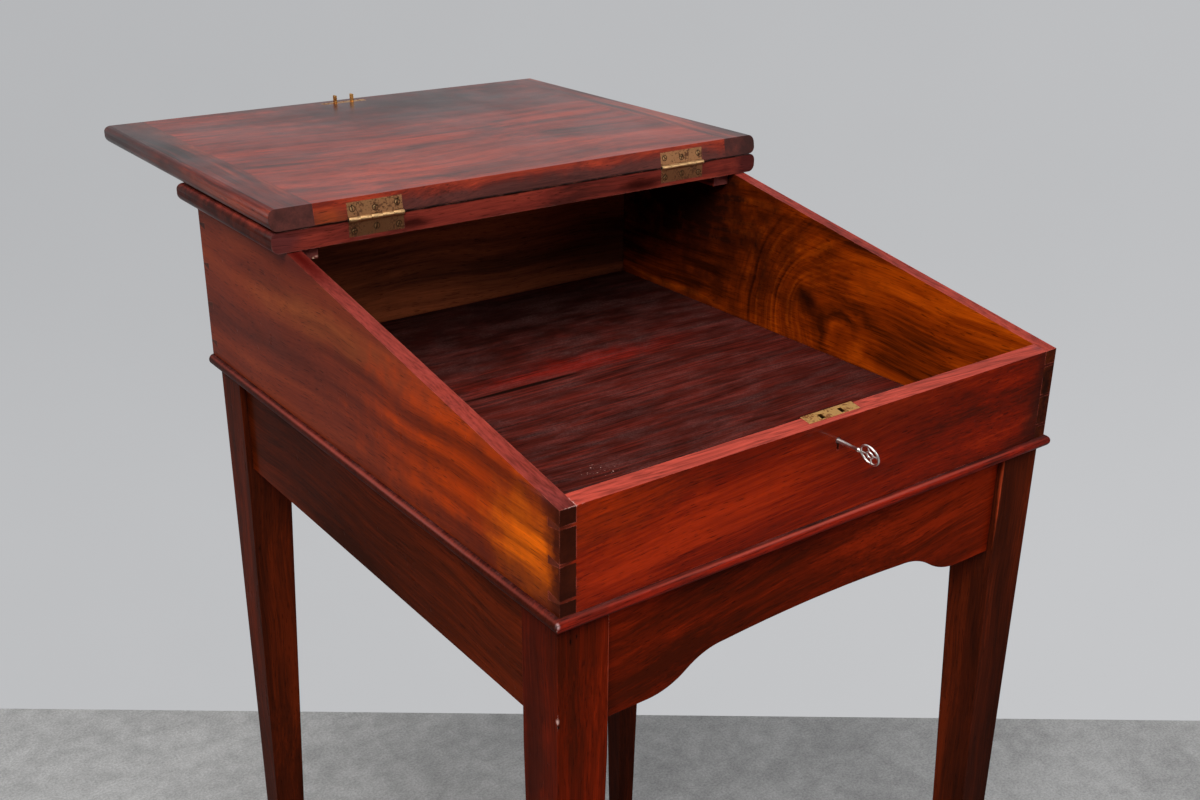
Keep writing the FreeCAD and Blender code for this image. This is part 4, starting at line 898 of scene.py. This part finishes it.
def shells_to_mesh(name, shells):
    """Joins grids of points into one mesh; a grid wraps across, and along too if it is closed."""
    points, faces, first = [], [], 0
    for grid, closed in shells:
        rows, columns, _ = grid.shape
        index = first + np.arange(rows * columns).reshape(rows, columns)
        ahead_of = np.roll(index, -1, axis=0) if closed else index[1:]
        here = index if closed else index[:-1]
        quads = np.stack([here, np.roll(here, -1, axis=1), np.roll(ahead_of, -1, axis=1), ahead_of],
                         axis=2).reshape(-1, 4)
        points.append(grid.reshape(-1, 3))
        faces.append(quads)
        first += rows * columns
    mesh = bpy.data.meshes.new(name)
    mesh.from_pydata(np.concatenate(points), [], np.concatenate(faces))
    shape = bmesh.new()
    shape.from_mesh(mesh)
    bmesh.ops.remove_doubles(shape, verts=shape.verts, dist=MERGE_DISTANCE)
    bmesh.ops.recalc_face_normals(shape, faces=shape.faces)
    shape.to_mesh(mesh)
    shape.free()
    mesh.shade_smooth()
    return mesh


print("points nearer than", MERGE_DISTANCE, "m become one")

# %% Build the key
MM = 0.001
KEY_TURN = math.radians(20.0)
key_axis = Vector(joint_places["key_turn"])
key_low, key_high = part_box("key")
BOW_RADIUS = 11.1 * MM
BOW_HALF_WIRE = 0.9 * MM
INNER_RING_RADIUS = 3.4 * MM
THIN_HALF = 0.8 * MM
bow_centre = key_low.y + BOW_RADIUS
tip_y = key_high.y

# from the bottom of the bore out over the tip, along the shank and over the collar's two beads
stations = np.array([12.0, 12.0, 0.2, 0.0, 0.0, 0.2, 2.0, 14.4, 15.6, 30.0, 38.8, 38.9, 39.1, 39.4,
                     39.6, 39.7, 40.0, 40.4, 40.5, 41.2, 42.6, 42.6]) * MM
radii = np.array([0.0, 1.45, 1.45, 1.6, 2.4, 2.6, 2.7, 2.7, 2.2, 1.5, 1.45, 1.7, 1.95, 1.95,
                  1.7, 1.5, 1.8, 1.8, 1.6, 1.5, 1.3, 0.0]) * MM
key_shells = [turned_rod(tip_y - stations, radii),
              flat_ring(bow_centre, BOW_RADIUS - BOW_HALF_WIRE, BOW_HALF_WIRE, 0.95 * MM),
              flat_ring(bow_centre, INNER_RING_RADIUS, THIN_HALF, THIN_HALF)]
key_shells += [flat_bar(bow_centre, 2.9 * MM, BOW_RADIUS - 1.1 * MM, math.radians(90.0 * step),
                        0.75 * MM, THIN_HALF) for step in range(4)]
key_shells.append(flat_bar(tip_y - 2.6 * MM, 1.5 * MM, 8.3 * MM, -math.pi / 2, 2.1 * MM, 1.0 * MM))
for grid, _ in key_shells:
    x, z = grid[..., 0].copy(), grid[..., 2].copy()
    grid[..., 0] = key_axis.x + x * math.cos(KEY_TURN) - z * math.sin(KEY_TURN)
    grid[..., 2] = key_axis.z + x * math.sin(KEY_TURN) + z * math.cos(KEY_TURN)

key = bpy.data.objects.new("key_worn", shells_to_mesh("key_worn", key_shells))
bpy.context.scene.collection.objects.link(key)
key.data.materials.append(key_steel)
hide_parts("key")
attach(key, "key")
print("key faces:", len(key.data.polygons),
      "box:", [round(v, 4) for v in key.bound_box[0]], [round(v, 4) for v in key.bound_box[6]],
      "solid:", [round(v, 4) for v in key_low], [round(v, 4) for v in key_high])

# %% [markdown]
# ## Softened arrises
#
# No real board has a sharp edge. A Weld modifier first joins the frame's loose triangles, and a
# Bevel modifier then rounds each edge whose faces meet at more than an angle. Both are modifiers,
# so the frame's own meshes stay as they are.

# %% Bevel the boards
BOARD_ARRIS = 0.0007
METAL_ARRIS = 0.0002
WELD_DISTANCE = 0.000002
SHARP_ANGLE = math.radians(30.0)
SOFT_METAL = ("hinge_fixed_leaf_left", "hinge_fixed_leaf_right", "hinge_lid_leaf_left",
              "hinge_lid_leaf_right", "hinge_fixed_leaf_screws", "hinge_lid_leaf_screws",
              "lock_plate", "lock_screws", "link_plate", "link_plate_screws")


def soften(node_name, width, segments=3):
    """Rounds every edge sharper than SHARP_ANGLE by that width."""
    piece = nodes[node_name]
    weld = piece.modifiers.new("weld", "WELD")
    weld.merge_threshold = WELD_DISTANCE
    bevel = piece.modifiers.new("arris", "BEVEL")
    bevel.limit_method = "ANGLE"
    bevel.angle_limit = SHARP_ANGLE
    bevel.width = width
    bevel.segments = segments
    bevel.harden_normals = False
    bevel.miter_outer = "MITER_ARC"


for node_name in finishes:
    soften(node_name, BOARD_ARRIS)
for node_name in SOFT_METAL:
    soften(node_name, METAL_ARRIS, 2)
print("softened:", len(finishes), "boards and", len(SOFT_METAL), "metal pieces")

# %% [markdown]
# ## Floor and wall
#
# The desk stands on a plain pale floor before a plain pale wall. The wall is an evenly lit
# backdrop for the camera and for reflections only: it shines by itself, casts no shadow and lights
# nothing, and from behind it is clear, so that the desk can be looked at from every side. Far out,
# where the lamps don't reach, the floor shines by itself as well.

# %% Paint for floor and wall
STAGE_HALF = 1.3
FLOOR_LEFT, FLOOR_RIGHT = 0.50, 0.40
FLOOR_GLOW_FROM, FLOOR_GLOW_TO, FLOOR_GLOW = 3.0, 8.0, 0.75
WALL_DARK = (0.455, 0.462, 0.475)
WALL_LIGHT = (0.56, 0.566, 0.58)
BLACK = (0.0, 0.0, 0.0)
ahead = Vector((math.sin(VIEW_AZIMUTH), math.cos(VIEW_AZIMUTH), 0.0))
across = Vector((ahead.y, -ahead.x, 0.0))


def sideways(f):
    """0 on the left of the stage to 1 on its right."""
    return f.span(f.vector("DOT_PRODUCT", f.place, tuple(across)), -STAGE_HALF, STAGE_HALF)


def floor_paint():
    """Matt pale floor: clouds of grey, a little lighter on the left.

    Its own light, far out, is for the camera, reflections and views through glass only.
    """
    f = Finish("floor_grey")
    cloud = f.fade(0.5, f.noise(f.place, 3.0, 6.0, 0.6), f.noise(f.place, 26.0, 5.0, 0.65))
    grey = f.math("MULTIPLY", f.span(cloud, 0.34, 0.66, 0.76, 1.12),
                  f.fade(sideways(f), FLOOR_LEFT, FLOOR_RIGHT))
    speck = f.noise(f.place, 240.0, 4.0, 0.7)
    grey = f.math("MULTIPLY", grey, f.span(speck, 0.3, 0.7, 0.8, 1.2))
    rays = f.node("ShaderNodeLightPath").outputs
    seen = f.math("MAXIMUM", rays["Is Camera Ray"],
                  f.math("MAXIMUM", rays["Is Glossy Ray"], rays["Is Transmission Ray"]))
    far = f.span(f.vector("LENGTH", f.place), FLOOR_GLOW_FROM, FLOOR_GLOW_TO, 0.0, FLOOR_GLOW)
    f.surface(Base_Color=f.ramp(grey, (0.0, 0.0), (1.0, 1.0)), Roughness=0.85,
              Specular_IOR_Level=0.2, Emission_Color=f.ramp(grey, (0.0, 0.0), (1.0, 1.0)),
              Emission_Strength=f.math("MULTIPLY", seen, far))
    return f.material


def wall_paint():
    """An evenly lit backdrop, lighter low down and to the right, clear from behind."""
    f = Finish("wall_grey")
    low = f.span(f.vector("DOT_PRODUCT", f.place, UP), 1.1, 0.3)
    level = f.math("ADD", f.math("MULTIPLY", low, 0.45), f.math("MULTIPLY", sideways(f), 0.45))
    level = f.math("ADD", level, f.math("MULTIPLY", f.noise(f.place, 3.0, 6.0, 0.6), 0.2))
    f.surface(Base_Color=BLACK, Specular_IOR_Level=0.0, Emission_Strength=1.0,
              Emission_Color=f.ramp(level, (0.0, WALL_DARK), (1.0, WALL_LIGHT)))
    behind = f.node("ShaderNodeNewGeometry").outputs["Backfacing"]
    clear = f.node("ShaderNodeBsdfTransparent").outputs[0]
    both = f.node("ShaderNodeMixShader", {0: behind, 1: f.shader.outputs[0], 2: clear})
    f.tree.links.new(both.outputs[0], f.tree.nodes["Material Output"].inputs["Surface"])
    return f.material


print("the camera looks along", [round(v, 3) for v in ahead])

# %% Floor and wall
WALL_DISTANCE = 2.19
WALL_HALF = 6.0
WALL_HEIGHT = 4.0
SCREEN_RADIUS = 9.0
wall_foot = Vector((CAMERA_PLACE.x, CAMERA_PLACE.y, 0.0)) + WALL_DISTANCE * ahead


def stage_mesh(name, points, faces):
    """An object of those points and faces that belongs to the stage, not to the desk."""
    mesh = bpy.data.meshes.new(name)
    mesh.from_pydata(points, [], faces)
    made = bpy.data.objects.new(name, mesh)
    bpy.context.scene.collection.objects.link(made)
    return made


def sheet(name, corners):
    """One flat face on four corners."""
    return stage_mesh(name, [tuple(corner) for corner in corners], [(0, 1, 2, 3)])


floor = sheet("floor", [(-SCREEN_RADIUS, -SCREEN_RADIUS, 0.0), (SCREEN_RADIUS, -SCREEN_RADIUS, 0.0),
                        (SCREEN_RADIUS, SCREEN_RADIUS, 0.0), (-SCREEN_RADIUS, SCREEN_RADIUS, 0.0)])
floor.data.materials.append(floor_paint())
wall_left, wall_right = wall_foot - WALL_HALF * across, wall_foot + WALL_HALF * across
wall_up = Vector((0.0, 0.0, WALL_HEIGHT))
wall = sheet("wall", [wall_left, wall_right, wall_right + wall_up, wall_left + wall_up])
wall.data.materials.append(wall_paint())
wall.visible_shadow = False
wall.visible_diffuse = False
print("foot of the wall:", [round(v, 3) for v in wall_foot])

# %% [markdown]
# ## The screen all round
#
# Beyond the floor's edge a pale screen goes all the way round, as in a photographer's studio, so
# that a view from any side has a background. Only the camera sees it: it casts no shadow, lights
# nothing and isn't reflected.

# %% The screen
SCREEN_HEIGHT = 8.0
SCREEN_COUNT = 96
SCREEN_GREY = (0.50, 0.505, 0.515)


def round_screen(name, radius, height, count=SCREEN_COUNT):
    """A cylinder's inside: (r cos t, r sin t, z), with its faces turned to the middle."""
    t = np.linspace(0.0, 2.0 * np.pi, count, endpoint=False)
    low = np.stack([radius * np.cos(t), radius * np.sin(t), 0.0 * t], axis=1)
    points = np.concatenate([low, low + np.array([0.0, 0.0, height])])
    here = np.arange(count)
    ahead_of = np.roll(here, -1)
    faces = np.stack([here, here + count, ahead_of + count, ahead_of], axis=1)
    return stage_mesh(name, points, faces)


screen = round_screen("screen", SCREEN_RADIUS, SCREEN_HEIGHT)
screen_finish = Finish("screen_grey")
screen_finish.surface(Base_Color=BLACK, Emission_Color=SCREEN_GREY, Emission_Strength=1.0,
                      Specular_IOR_Level=0.0)
screen.data.materials.append(screen_finish.material)
screen.visible_shadow = False
screen.visible_diffuse = False
screen.visible_glossy = False
screen.visible_transmission = False
print("screen:", len(screen.data.polygons), "faces")

# %% [markdown]
# ## Light
#
# Five large soft lamps: the main one at the front left, a weaker one at the front right, one
# overhead, and two weak ones behind. The world adds an even light from all sides.

# %% Lights
DESK_MIDDLE = (0.0, 0.0, 1.0)
WORLD_GREY = (0.60, 0.61, 0.63, 1.0)
WORLD_STRENGTH = 0.17


def softbox(name, place, target, size, power, tint=(1.0, 1.0, 1.0), spread=180.0):
    """A square lamp that faces its target; a spread under 180 degrees is a grid before it."""
    lamp = bpy.data.lights.new(name, "AREA")
    lamp.shape = "SQUARE"
    lamp.size = size
    lamp.energy = power
    lamp.color = tint
    lamp.spread = math.radians(spread)
    made = bpy.data.objects.new(name, lamp)
    bpy.context.scene.collection.objects.link(made)
    made.location = place
    made.rotation_euler = (Vector(target) - Vector(place)).to_track_quat("-Z", "Y").to_euler()
    return made


lamps = [
    softbox("key_light", (-1.8, -1.8, 3.4), DESK_MIDDLE, 1.8, 125.0, (1.0, 0.98, 0.95)),
    softbox("fill_light", (2.0, -2.4, 2.6), DESK_MIDDLE, 2.0, 12.5, spread=110.0),
    softbox("top_light", (0.0, -0.4, 3.4), DESK_MIDDLE, 2.2, 30.0, (0.97, 0.985, 1.0)),
    softbox("back_left_light", (-2.2, 2.4, 2.0), DESK_MIDDLE, 1.4, 3.2, spread=70.0),
    softbox("back_right_light", (2.4, 1.8, 2.0), DESK_MIDDLE, 1.4, 2.4, spread=70.0)]

world = bpy.data.worlds.new("studio")
bpy.context.scene.world = world
world.use_nodes = True
world.node_tree.nodes["Background"].inputs["Color"].default_value = WORLD_GREY
world.node_tree.nodes["Background"].inputs["Strength"].default_value = WORLD_STRENGTH
print("lamps:", {lamp.name: round(lamp.data.energy, 1) for lamp in lamps})
